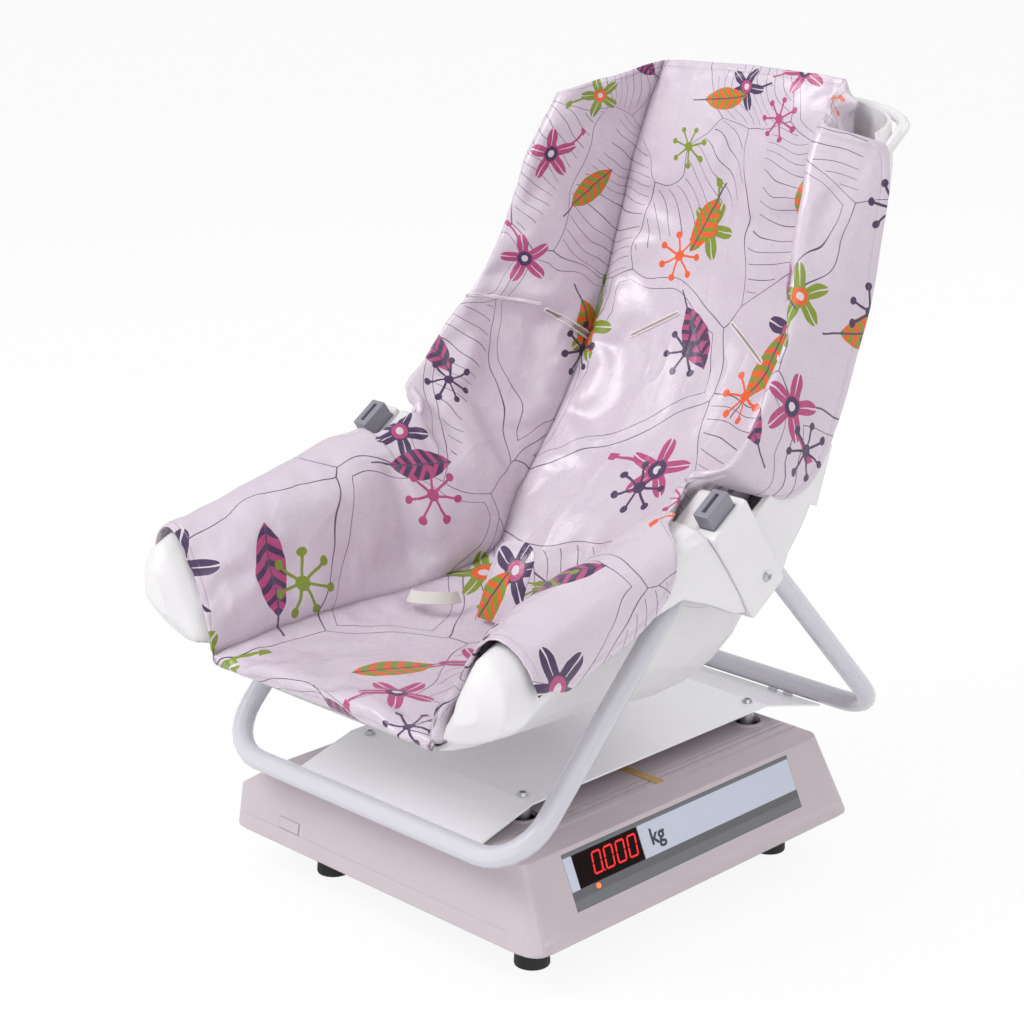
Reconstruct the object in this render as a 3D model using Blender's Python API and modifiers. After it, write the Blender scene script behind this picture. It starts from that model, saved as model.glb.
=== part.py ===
# Baby scale: an infant seat on a white tray, carried by a low electronic weighing base.
# Frame: +X the display side, -Y the seat's front, +Z up. "left" and "right" are the seated child's.
import math

import bmesh
import bpy
import numpy as np
from mathutils import Matrix, Vector

# Driving dimensions, in metres
BASE_WIDTH = 0.330          # housing along X
BASE_DEPTH = 0.357          # housing along Y
BASE_BOTTOM = 0.034         # underside of the housing above the floor
DECK_HEIGHT = 0.0958        # housing's flat top above the floor
BASE_SHIFT_X = -0.0035      # housing centre against the tray's centre
BASE_SHIFT_Y = -0.0170
HOUSING_WALL = 0.003
TRAY_HEIGHT = 0.1122        # top face of the tray above the floor
TRAY_HALF_WIDTH = 0.0968
TRAY_BEND = 0.1322          # from the centre to the two bends
TRAY_REACH = 0.2015         # from the centre to the bent-down edges
TRAY_DROP = 0.0190          # fall of each bent-down part
TRAY_GAUGE = 0.0015
POST_X = 0.0816             # tray screws and posts
POST_Y = 0.1267
TUBE_RADIUS = 0.008
LEG_X = 0.157               # leg tube centre from the middle
FRONT_CROSS = (-0.2075, 0.1047)     # front cross tube's centre in the YZ plane
REAR_CROSS = (0.2010, 0.1035)
TUBE_BEND = 0.040
FRONT_SLOPE = math.radians(45.7)
REAR_SLOPE = math.radians(46.7)
HINGE_Y = 0.011             # recline axis
HINGE_Z = 0.270
HINGE_TILT = math.radians(34)
SEAT_FRONT = -0.250
ARM_OUTER = 0.186           # outer face of the arm channel
ARM_INNER = 0.138
SHELL_WALL = 0.003
COVER_THICK = 0.007
BACK_TOP = 0.597
SCALE_SHIFT = 0.0096        # brings the origin under the middle of the whole scale
GAP = 0.0003                # between pieces that touch
OVERRUN = 0.002             # how far a cutter passes a face
SOFT_GAP = 0.0006           # between a cover and what carries it


def clear_scene():
    for item in list(bpy.data.objects):
        bpy.data.objects.remove(item, do_unlink=True)


clear_scene()
PARTS = bpy.data.collections.new("baby_scale")
CUTTERS = bpy.data.collections.new("cutters")
bpy.context.scene.collection.children.link(PARTS)
bpy.context.scene.collection.children.link(CUTTERS)
ROOT = bpy.data.objects.new("scale_root", None)
ROOT.location.y = SCALE_SHIFT
PARTS.objects.link(ROOT)


def material(name, colour, roughness, metallic=0.0):
    made = bpy.data.materials.new(name)
    made.use_nodes = True
    shader = made.node_tree.nodes["Principled BSDF"]
    shader.inputs["Base Color"].default_value = (*colour, 1.0)
    shader.inputs["Roughness"].default_value = roughness
    shader.inputs["Metallic"].default_value = metallic
    return made


HOUSING_PLASTIC = material("housing_plastic", (0.60, 0.54, 0.56), 0.45)
WHITE_PLASTIC = material("white_plastic", (0.86, 0.86, 0.87), 0.32)
WHITE_PAINT = material("white_paint", (0.82, 0.81, 0.86), 0.22)
GREY_PLASTIC = material("grey_plastic", (0.22, 0.24, 0.26), 0.45)
RUBBER = material("black_rubber", (0.02, 0.02, 0.02), 0.75)
STEEL = material("zinc_steel", (0.62, 0.62, 0.62), 0.30, 1.0)
ALUMINIUM = material("aluminium", (0.77, 0.78, 0.80), 0.35, 1.0)
CIRCUIT_BOARD = material("circuit_board", (0.03, 0.20, 0.08), 0.50)
OVERLAY_FILM = material("overlay_film", (0.55, 0.58, 0.66), 0.35)
SMOKED_WINDOW = material("smoked_window", (0.03, 0.01, 0.01), 0.08)
RED_DIGITS = material("red_digits", (0.80, 0.03, 0.03), 0.30)
AMBER_LENS = material("amber_lens", (1.0, 0.35, 0.05), 0.20)
AMBER_TAPE = material("amber_tape", (0.55, 0.40, 0.18), 0.25)
BATTERY_WRAP = material("battery_wrap", (0.04, 0.05, 0.09), 0.40)
VINYL = material("printed_vinyl", (0.74, 0.65, 0.74), 0.35)
WEBBING = material("white_webbing", (0.85, 0.84, 0.80), 0.70)


def add_object(name, mesh, finish, parent=ROOT):
    made = bpy.data.objects.new(name, mesh)
    if finish is None:
        CUTTERS.objects.link(made)
        made.hide_render = True
        made.display_type = "WIRE"
    else:
        PARTS.objects.link(made)
        mesh.materials.clear()
        mesh.materials.append(finish)
    made.parent = parent
    return made


def from_bmesh(name, shape, finish, parent=ROOT, smooth=False):
    bmesh.ops.recalc_face_normals(shape, faces=shape.faces)
    mesh = bpy.data.meshes.new(name)
    shape.to_mesh(mesh)
    shape.free()
    if smooth:
        mesh.shade_smooth()
        mesh.set_sharp_from_angle(angle=math.radians(40))
    return add_object(name, mesh, finish, parent)


def box(name, size, centre, finish=None, parent=ROOT, bevel=0.0):
    shape = bmesh.new()
    bmesh.ops.create_cube(shape, size=1.0)
    bmesh.ops.scale(shape, vec=size, verts=shape.verts)
    made = from_bmesh(name, shape, finish, parent)
    made.location = centre
    if bevel:
        round_edges(made, bevel)
    return made


def cylinder(name, radius, length, centre, finish=None, parent=ROOT, axis="Z", sides=24, top=None):
    shape = bmesh.new()
    bmesh.ops.create_cone(shape, cap_ends=True, segments=sides, radius1=radius,
                          radius2=radius if top is None else top, depth=length)
    turn = {"X": Matrix.Rotation(math.pi / 2, 4, "Y"), "Y": Matrix.Rotation(-math.pi / 2, 4, "X"),
            "Z": Matrix.Identity(4)}[axis]
    bmesh.ops.transform(shape, matrix=turn, verts=shape.verts)
    made = from_bmesh(name, shape, finish, parent, smooth=True)
    made.location = centre
    return made


def round_edges(piece, width, segments=2, angle=40):
    edge = piece.modifiers.new("rounding", "BEVEL")
    edge.width = width
    edge.segments = segments
    edge.limit_method = "ANGLE"
    edge.angle_limit = math.radians(angle)
    return edge


def cut(piece, tool, operation="DIFFERENCE", check_self=False):
    step = piece.modifiers.new(operation.lower(), "BOOLEAN")
    step.use_self = check_self
    step.operation = operation
    step.solver = "EXACT"
    step.object = tool


def join(piece, tool, check_self=False):
    cut(piece, tool, "UNION", check_self)


def as_mesh(curve_object, name, finish, parent=ROOT):
    # A curve's evaluated mesh with its caps welded on, so that it can be cut
    view = bpy.context.evaluated_depsgraph_get()
    view.update()
    mesh = bpy.data.meshes.new_from_object(curve_object.evaluated_get(view))
    shape = bmesh.new()
    shape.from_mesh(mesh)
    bmesh.ops.remove_doubles(shape, verts=shape.verts, dist=0.00001)
    place = curve_object.matrix_world.copy()
    bpy.data.objects.remove(curve_object, do_unlink=True)
    made = from_bmesh(name, shape, finish, parent, smooth=True)
    made.matrix_local = place
    return made


def tube(name, points, radius, finish=None, parent=ROOT, resolution=2):
    data = bpy.data.curves.new(name, "CURVE")
    data.dimensions = "3D"
    data.bevel_depth = radius
    data.bevel_resolution = resolution
    data.use_fill_caps = True
    line = data.splines.new("POLY")
    line.points.add(len(points) - 1)
    for place, point in zip(line.points, points):
        place.co = (*point, 1.0)
    route = bpy.data.objects.new(name + "_route", data)
    CUTTERS.objects.link(route)
    return as_mesh(route, name, finish, parent)


def plate_from_outline(name, outline, thickness, finish=None, parent=ROOT):
    # A flat outline in the YZ plane, thickened along X about the origin
    data = bpy.data.curves.new(name, "CURVE")
    data.dimensions = "2D"
    data.fill_mode = "BOTH"
    data.extrude = thickness / 2
    line = data.splines.new("POLY")
    line.points.add(len(outline) - 1)
    for place, (across, up) in zip(line.points, outline):
        place.co = (across, up, 0.0, 1.0)
    line.use_cyclic_u = True
    flat = bpy.data.objects.new(name + "_outline", data)
    flat.rotation_euler = (math.pi / 2, 0.0, math.pi / 2)
    CUTTERS.objects.link(flat)
    return as_mesh(flat, name, finish, parent)


def arc(centre, radius, start, end, steps):
    return [(centre[0] + radius * math.cos(a), centre[1] + radius * math.sin(a))
            for a in np.linspace(start, end, steps)]


def smooth_value(places, values, at):
    # Smooth reading of a table: Hermite through its points with finite-difference slopes
    places = np.asarray(places, float)
    values = np.asarray(values, float)
    slopes = np.gradient(values, places)
    i = int(np.clip(np.searchsorted(places, at) - 1, 0, len(places) - 2))
    span = places[i + 1] - places[i]
    t = min(max((at - places[i]) / span, 0.0), 1.0)
    return float((2 * t**3 - 3 * t**2 + 1) * values[i] + (t**3 - 2 * t**2 + t) * span * slopes[i]
                 + (3 * t**2 - 2 * t**3) * values[i + 1] + (t**3 - t**2) * span * slopes[i + 1])


# Weighing base: housing
BASE_LEFT = BASE_SHIFT_X - BASE_WIDTH / 2
BASE_RIGHT = BASE_SHIFT_X + BASE_WIDTH / 2
BASE_FRONT = BASE_SHIFT_Y - BASE_DEPTH / 2
BASE_BACK = BASE_SHIFT_Y + BASE_DEPTH / 2
SKIRT_HEIGHT = 0.010        # upright band under the display face
SKIRT_PROUD = 0.0005        # how far it stands out from the walls above
FACE_TILT = math.radians(24.2)
FACE_SETBACK = 0.004        # knee between the skirt and the display face
FACE_TOP = 0.093            # height where the display face meets the deck's lower step
FAR_WALL_HEIGHT = 0.028     # upright wall on the side away from the display
FAR_SLOPE_RUN = 0.051       # level run of the long slope above it
END_DRAFT = 0.010           # how far the two ends lean in by the top
CORNER_RADIUS = 0.018
TOP_RADIUS = 0.006
STEP_X = 0.113              # deck's lower step starts here
STEP_DROP = DECK_HEIGHT - FACE_TOP
DECK_GROOVES = (0.099, 0.1055)
GROOVE_WIDTH = 0.0014
GROOVE_DEPTH = 0.0011
WELL_RADIUS = 0.011
WELL_LIP = 0.0028           # width of the raised ring round a well
WELL_LIP_RISE = 0.0014
FACE_KNEE_X = BASE_RIGHT - FACE_SETBACK
FACE_KNEE_Z = BASE_BOTTOM + SKIRT_HEIGHT + FACE_SETBACK / 2


def housing_form(name, finish=None, skirt=False):
    # Box trimmed by the sloping planes, or only the low skirt that stands proud of it
    height = DECK_HEIGHT - BASE_BOTTOM
    shape = bmesh.new()
    bmesh.ops.create_cube(shape, size=1.0)
    proud = Vector((SKIRT_PROUD, SKIRT_PROUD, 0.0)) if skirt else Vector()
    low = Vector((BASE_LEFT, BASE_FRONT, BASE_BOTTOM)) - proud
    high = Vector((BASE_RIGHT, BASE_BACK, DECK_HEIGHT)) + proud
    bmesh.ops.scale(shape, vec=high - low, verts=shape.verts)
    bmesh.ops.translate(shape, vec=(low + high) / 2, verts=shape.verts)
    for side, edge_y in ((-1, BASE_FRONT - proud.y), (1, BASE_BACK + proud.y)):
        lean = Vector((0.0, side * height, END_DRAFT)).normalized()
        trim(shape, (0.0, edge_y, BASE_BOTTOM), lean)
    if skirt:
        ledge = Vector((FACE_SETBACK, 0.0, FACE_SETBACK)).normalized()
        trim(shape, (FACE_KNEE_X, 0.0, FACE_KNEE_Z), ledge)
        trim(shape, (0.0, 0.0, FACE_KNEE_Z), Vector((0.0, 0.0, 1.0)))
    else:
        face_normal = Vector((math.cos(FACE_TILT), 0.0, math.sin(FACE_TILT)))
        trim(shape, (FACE_KNEE_X, 0.0, FACE_KNEE_Z), face_normal)
    slope_normal = Vector((FAR_WALL_HEIGHT - height, 0.0, FAR_SLOPE_RUN)).normalized()
    trim(shape, (BASE_LEFT, 0.0, BASE_BOTTOM + FAR_WALL_HEIGHT), slope_normal)
    origin = Vector((BASE_SHIFT_X, BASE_SHIFT_Y, BASE_BOTTOM))
    bmesh.ops.translate(shape, vec=-origin, verts=shape.verts)
    weights = shape.edges.layers.float.new("bevel_weight_edge")
    for edge in shape.edges:
        ends = [face.normal for face in edge.link_faces]
        across = [abs(n.y) > 0.7 for n in ends]
        upright = [abs(n.x) > 0.6 for n in ends]
        top = [n.z > 0.9 for n in ends]
        if any(across) and any(upright):
            edge[weights] = 1.0
        elif any(top) and any(across) and not skirt:
            edge[weights] = TOP_RADIUS / CORNER_RADIUS
    made = from_bmesh(name, shape, finish)
    made.location = origin
    corner = made.modifiers.new("corners", "BEVEL")
    corner.limit_method = "WEIGHT"
    corner.width = CORNER_RADIUS
    corner.segments = 5
    return made


def deck_step(name, inset):
    # What lies above the deck's lower step on the display side
    return box(name, (STEP_X, BASE_DEPTH + 2 * OVERRUN, STEP_DROP * 2),
               (STEP_X * 1.5 - inset, BASE_SHIFT_Y, FACE_TOP - inset + STEP_DROP))


def trim(shape, point, normal):
    # Cuts away what lies outside a plane and closes the cut with one face
    everything = shape.verts[:] + shape.edges[:] + shape.faces[:]
    result = bmesh.ops.bisect_plane(shape, geom=everything, plane_co=point, plane_no=normal,
                                    clear_outer=True, dist=0.000001)
    edges = [item for item in result["geom_cut"] if isinstance(item, bmesh.types.BMEdge)]
    bmesh.ops.holes_fill(shape, edges=edges, sides=0)
    bmesh.ops.recalc_face_normals(shape, faces=shape.faces)


# Display face: a frame whose X is the face's normal and Z runs up the slope
PANEL_LENGTH = 0.2515
PANEL_HEIGHT = 0.0410
PANEL_THICK = 0.0008
PANEL_RECESS = 0.0011
PANEL_MIDDLE_Y = -0.0200
PANEL_MIDDLE_Z = 0.0708     # height above the floor
WINDOW_LENGTH = 0.0690
WINDOW_HEIGHT = 0.0245
WINDOW_THICK = 0.0015
WINDOW_FROM_END = 0.0085    # window's end from the overlay's end
WINDOW_FROM_TOP = 0.0028
WINDOW_GAP = 0.0002
BOARD_THICK = 0.0016
DIGITS_LENGTH = 0.0600
DIGITS_HEIGHT = 0.0190
DIGITS_THICK = 0.0070
LED_RADIUS = 0.0020
LED_Y = -0.1200
LED_DOWN = 0.0096           # lamp's centre below the overlay's middle, along the slope
PANEL_MIDDLE_X = FACE_KNEE_X - (PANEL_MIDDLE_Z - FACE_KNEE_Z) * math.tan(FACE_TILT)
FACE = bpy.data.objects.new("display_face", None)
PARTS.objects.link(FACE)
FACE.parent = ROOT
FACE.location = (PANEL_MIDDLE_X, PANEL_MIDDLE_Y, PANEL_MIDDLE_Z)
FACE.rotation_euler = (0.0, -FACE_TILT, 0.0)
WINDOW_Y = -PANEL_LENGTH / 2 + WINDOW_FROM_END + WINDOW_LENGTH / 2
WINDOW_Z = PANEL_HEIGHT / 2 - WINDOW_FROM_TOP - WINDOW_HEIGHT / 2
WINDOW_FLOOR = -PANEL_RECESS - GAP - WINDOW_THICK


def build_display():
    overlay_x = -PANEL_RECESS + GAP + PANEL_THICK / 2
    overlay = box("display_overlay", (PANEL_THICK, PANEL_LENGTH, PANEL_HEIGHT), (overlay_x, 0.0, 0.0),
                  OVERLAY_FILM, FACE)
    opening = (OVERRUN * 4, WINDOW_LENGTH, WINDOW_HEIGHT)
    cut(overlay, box("overlay_window_cut", opening, (0.0, WINDOW_Y, WINDOW_Z), None, FACE))
    lamp_y = LED_Y - PANEL_MIDDLE_Y
    cut(overlay, cylinder("overlay_lamp_cut", LED_RADIUS + GAP, OVERRUN * 4, (0.0, lamp_y, -LED_DOWN),
                          None, FACE, "X", 16))
    window_size = (WINDOW_THICK, WINDOW_LENGTH - 2 * GAP, WINDOW_HEIGHT - 2 * GAP)
    window_x = overlay_x + PANEL_THICK / 2 - WINDOW_GAP - WINDOW_THICK / 2
    box("display_window", window_size, (window_x, WINDOW_Y, WINDOW_Z), SMOKED_WINDOW, FACE, 0.0003)
    digits_x = window_x - WINDOW_THICK / 2 - GAP - DIGITS_THICK / 2
    box("digit_module", (DIGITS_THICK, DIGITS_LENGTH, DIGITS_HEIGHT), (digits_x, WINDOW_Y, WINDOW_Z),
        RED_DIGITS, FACE)
    board_x = digits_x - DIGITS_THICK / 2 - GAP - BOARD_THICK / 2
    board_length = WINDOW_LENGTH + DISPLAY_BOARD_MARGIN * 2
    board = box("display_board", (BOARD_THICK, board_length, DISPLAY_BOARD_HEIGHT),
                (board_x, WINDOW_Y, DISPLAY_BOARD_Z), CIRCUIT_BOARD, FACE)
    lamp_back = board_x + BOARD_THICK / 2 + GAP
    lamp_front = overlay_x + PANEL_THICK / 2 + LED_RADIUS / 2
    lamp = cylinder("status_lamp", LED_RADIUS, lamp_front - lamp_back,
                    ((lamp_front + lamp_back) / 2, lamp_y, -LED_DOWN), AMBER_LENS, FACE, "X", 16)
    round_edges(lamp, LED_RADIUS / 3)
    return board_x, board_length


DISPLAY_BOARD_MARGIN = 0.008
DISPLAY_BOARD_HEIGHT = 0.030
DISPLAY_BOARD_Z = 0.0015
STANDOFF_RADIUS = 0.003


def build_housing():
    housing = housing_form("upper_housing", HOUSING_PLASTIC)
    cut(housing, deck_step("deck_step", 0.0))
    join(housing, housing_form("skirt", skirt=True))
    # The hollow is the same form drawn in by the wall and carried on past the open bottom
    hollow = housing_form("housing_hollow")
    height = DECK_HEIGHT - BASE_BOTTOM
    hollow.scale = (1 - 2 * HOUSING_WALL / BASE_WIDTH, 1 - 2 * HOUSING_WALL / BASE_DEPTH,
                    1 - (HOUSING_WALL - OVERRUN) / height)
    hollow.location.z -= OVERRUN
    cut(hollow, deck_step("hollow_step", HOUSING_WALL))
    cut(housing, hollow)
    board_x, board_length = build_display()
    # Bosses behind the display face carry the display board
    boss_length = -HOUSING_WALL / 2 - (board_x + BOARD_THICK / 2 + GAP)
    for side in (-1, 1):
        boss_y = WINDOW_Y + side * (board_length / 2 - STANDOFF_RADIUS)
        boss = cylinder("display_boss", STANDOFF_RADIUS, boss_length,
                        (-HOUSING_WALL / 2 - boss_length / 2, boss_y, DISPLAY_BOARD_Z), None, FACE, "X", 12)
        join(housing, boss)
    for x in (-POST_X, POST_X):
        for y in (-POST_Y, POST_Y):
            ring_height = HOUSING_WALL / 2 + WELL_LIP_RISE
            ring = cylinder("well_ring", WELL_RADIUS + WELL_LIP, ring_height,
                            (x, y, DECK_HEIGHT + WELL_LIP_RISE - ring_height / 2), sides=20)
            join(housing, ring)
            cut(housing, cylinder("well_hole", WELL_RADIUS, HOUSING_WALL * 4,
                                  (x, y, DECK_HEIGHT), sides=20))
    for x in DECK_GROOVES:
        cut(housing, box("deck_groove", (GROOVE_WIDTH, BASE_DEPTH, GROOVE_DEPTH * 2),
                         (x, BASE_SHIFT_Y, DECK_HEIGHT)))
    recess = (PANEL_RECESS + OVERRUN, PANEL_LENGTH + 2 * GAP, PANEL_HEIGHT + 2 * GAP)
    cut(housing, box("overlay_recess", recess, (OVERRUN / 2 - PANEL_RECESS / 2, 0.0, 0.0), None, FACE))
    opening = (HOUSING_WALL * 4, WINDOW_LENGTH, WINDOW_HEIGHT)
    cut(housing, box("window_opening", opening, (0.0, WINDOW_Y, WINDOW_Z), None, FACE))
    cut(housing, cylinder("lamp_opening", LED_RADIUS + GAP, HOUSING_WALL * 4,
                          (0.0, LED_Y - PANEL_MIDDLE_Y, -LED_DOWN), None, FACE, "X", 16))
    wall_z = BASE_BOTTOM + FAR_WALL_HEIGHT / 2 + SWITCH_LIFT
    cut(housing, box("switch_opening", (HOUSING_WALL * 4, SWITCH_LENGTH, SWITCH_HEIGHT),
                     (BASE_LEFT, SWITCH_Y, wall_z)))
    cut(housing, cylinder("jack_opening", JACK_RADIUS, HOUSING_WALL * 4, (BASE_LEFT, JACK_Y, wall_z),
                          axis="X", sides=20))
    # Amber sealing strip across the deck's grooves
    box("seal_strip", (TAPE_LENGTH, TAPE_WIDTH, TAPE_THICK),
        (STEP_X - TAPE_LENGTH / 2, TAPE_Y, DECK_HEIGHT + GAP + TAPE_THICK / 2), AMBER_TAPE)


TAPE_LENGTH = 0.050
TAPE_WIDTH = 0.008
TAPE_THICK = 0.0004
TAPE_Y = -0.012
SWITCH_LENGTH = 0.019
SWITCH_HEIGHT = 0.0125
SWITCH_Y = 0.060
SWITCH_LIFT = 0.001
SWITCH_RIM = 0.0015
SWITCH_RIM_THICK = 0.0012
SWITCH_DEPTH = 0.016
SWITCH_WALL = 0.0012
ROCKER_THROW = math.radians(9)
JACK_RADIUS = 0.0060
JACK_Y = 0.092
JACK_BORE = 0.0028
JACK_DEPTH = 0.012
JACK_FLANGE = 0.0015


def build_power_side():
    wall_z = BASE_BOTTOM + FAR_WALL_HEIGHT / 2 + SWITCH_LIFT
    body_start = BASE_LEFT - SKIRT_PROUD - GAP - SWITCH_RIM_THICK
    # Switch frame: a shallow cup through the wall with a rim outside
    frame = box("power_switch_frame", (SWITCH_DEPTH, SWITCH_LENGTH - 2 * GAP, SWITCH_HEIGHT - 2 * GAP),
                (body_start + SWITCH_DEPTH / 2, SWITCH_Y, wall_z), GREY_PLASTIC)
    join(frame, box("switch_rim", (SWITCH_RIM_THICK, SWITCH_LENGTH + 2 * SWITCH_RIM,
                                   SWITCH_HEIGHT + 2 * SWITCH_RIM),
                    (body_start + SWITCH_RIM_THICK / 2, SWITCH_Y, wall_z)))
    pocket = (SWITCH_DEPTH, SWITCH_LENGTH - 2 * SWITCH_WALL, SWITCH_HEIGHT - 2 * SWITCH_WALL)
    cut(frame, box("switch_pocket", pocket, (body_start - SWITCH_WALL, SWITCH_Y, wall_z)))
    # Rocker: a shallow wedge that tips about an axis along Z
    clear = GAP * 2
    half = pocket[1] / 2 - clear * 2
    swing = half * math.tan(ROCKER_THROW)
    rocker_height = pocket[2] - 2 * clear
    outline = [(-half, 0.0), (-half, swing + SWITCH_WALL), (0.0, SWITCH_WALL), (half, swing + SWITCH_WALL),
               (half, 0.0), (half / 2, -swing * 2), (-half / 2, -swing * 2)]
    axis_x = body_start + swing
    rocker = plate_from_outline("power_rocker", outline, rocker_height, GREY_PLASTIC)
    rocker.location = (axis_x, SWITCH_Y, wall_z)
    rocker.rotation_euler = (0.0, 0.0, math.pi / 2 + ROCKER_THROW)
    jack = cylinder("power_jack", JACK_RADIUS - GAP, JACK_DEPTH, (body_start + JACK_DEPTH / 2, JACK_Y, wall_z),
                    GREY_PLASTIC, axis="X", sides=20)
    join(jack, cylinder("jack_flange", JACK_RADIUS + JACK_FLANGE, SWITCH_RIM_THICK,
                        (body_start + SWITCH_RIM_THICK / 2, JACK_Y, wall_z), axis="X", sides=20))
    cut(jack, cylinder("jack_bore", JACK_BORE, JACK_DEPTH, (body_start - SWITCH_WALL, JACK_Y, wall_z),
                       axis="X", sides=16))


# Weighing base: plate, feet, load cell, spider, posts, boards, battery
PLATE_THICK = 0.003
PLATE_CLEAR = 0.0012
FOOT_RADIUS = 0.0133
FOOT_HEIGHT = 0.020
FOOT_TAPER = 0.0012
STUD_RADIUS = 0.004
STUD_GRIP = 0.012
FOOT_LEFT_X = 0.1150
FOOT_RIGHT_X = -0.0990
FOOT_FRONT_Y = -0.1510
FOOT_BACK_Y = 0.1170
BOSS_WALL = 0.004
BOSS_HEIGHT = 0.008
CELL_LENGTH = 0.130
CELL_WIDTH = 0.030
CELL_HEIGHT = 0.022
CELL_HOLE_RADIUS = 0.0065
CELL_HOLE_PITCH = 0.015
SPACER_LENGTH = 0.032
SPACER_THICK = 0.006
SPIDER_THICK = 0.004
SPIDER_ARM = 0.026
SPIDER_HUB = 0.060
POST_RADIUS = 0.0055
BOARD_LENGTH = 0.090
BOARD_WIDTH = 0.046
BOARD_X = 0.066
BOARD_Y = -0.030
BOARD_LIFT = 0.009
CHIP_HEIGHT = 0.006
BATTERY_LENGTH = 0.095
BATTERY_WIDTH = 0.045
BATTERY_HEIGHT = 0.026
BATTERY_Y = -0.040
SCREW_HEAD_RADIUS = 0.0042
SCREW_HEAD_HEIGHT = 0.0022
SCREW_SHANK_RADIUS = 0.0019
SCREW_LENGTH = 0.012
SLOT_DEPTH = 0.001
SLOT_WIDTH = 0.0009
PLATE_TOP = BASE_BOTTOM + PLATE_THICK


def base_screw(name, place, finish, axis="Z", side=1, parent=ROOT):
    """Pan-head screw with a cross recess; place is the bearing face, the head points along side."""
    shank = SCREW_LENGTH + SCREW_HEAD_HEIGHT / 2
    turn = {"Z": Matrix.Identity(4), "X": Matrix.Rotation(math.pi / 2, 4, "Y")}[axis]
    holder = bpy.data.objects.new(name + "_place", None)
    CUTTERS.objects.link(holder)
    holder.parent = parent
    holder.matrix_local = Matrix.Translation(place) @ turn @ Matrix.Scale(side, 4, (0, 0, 1))
    head = cylinder(name, SCREW_HEAD_RADIUS, SCREW_HEAD_HEIGHT, (0.0, 0.0, GAP + SCREW_HEAD_HEIGHT / 2),
                    finish, holder, sides=20, top=SCREW_HEAD_RADIUS * SCREW_CROWN_SHARE)
    join(head, cylinder(name + "_shank", SCREW_SHANK_RADIUS, shank,
                        (0.0, 0.0, GAP + SCREW_HEAD_HEIGHT / 2 - shank / 2), None, holder, sides=12))
    for turn_angle in (0.0, math.pi / 2):
        slot = box(name + "_slot", (SCREW_HEAD_RADIUS, SLOT_WIDTH, SLOT_DEPTH * 2),
                   (0.0, 0.0, GAP + SCREW_HEAD_HEIGHT), None, holder)
        slot.rotation_euler = (0.0, 0.0, turn_angle)
        cut(head, slot)
    return head


SCREW_CROWN_SHARE = 0.72


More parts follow.
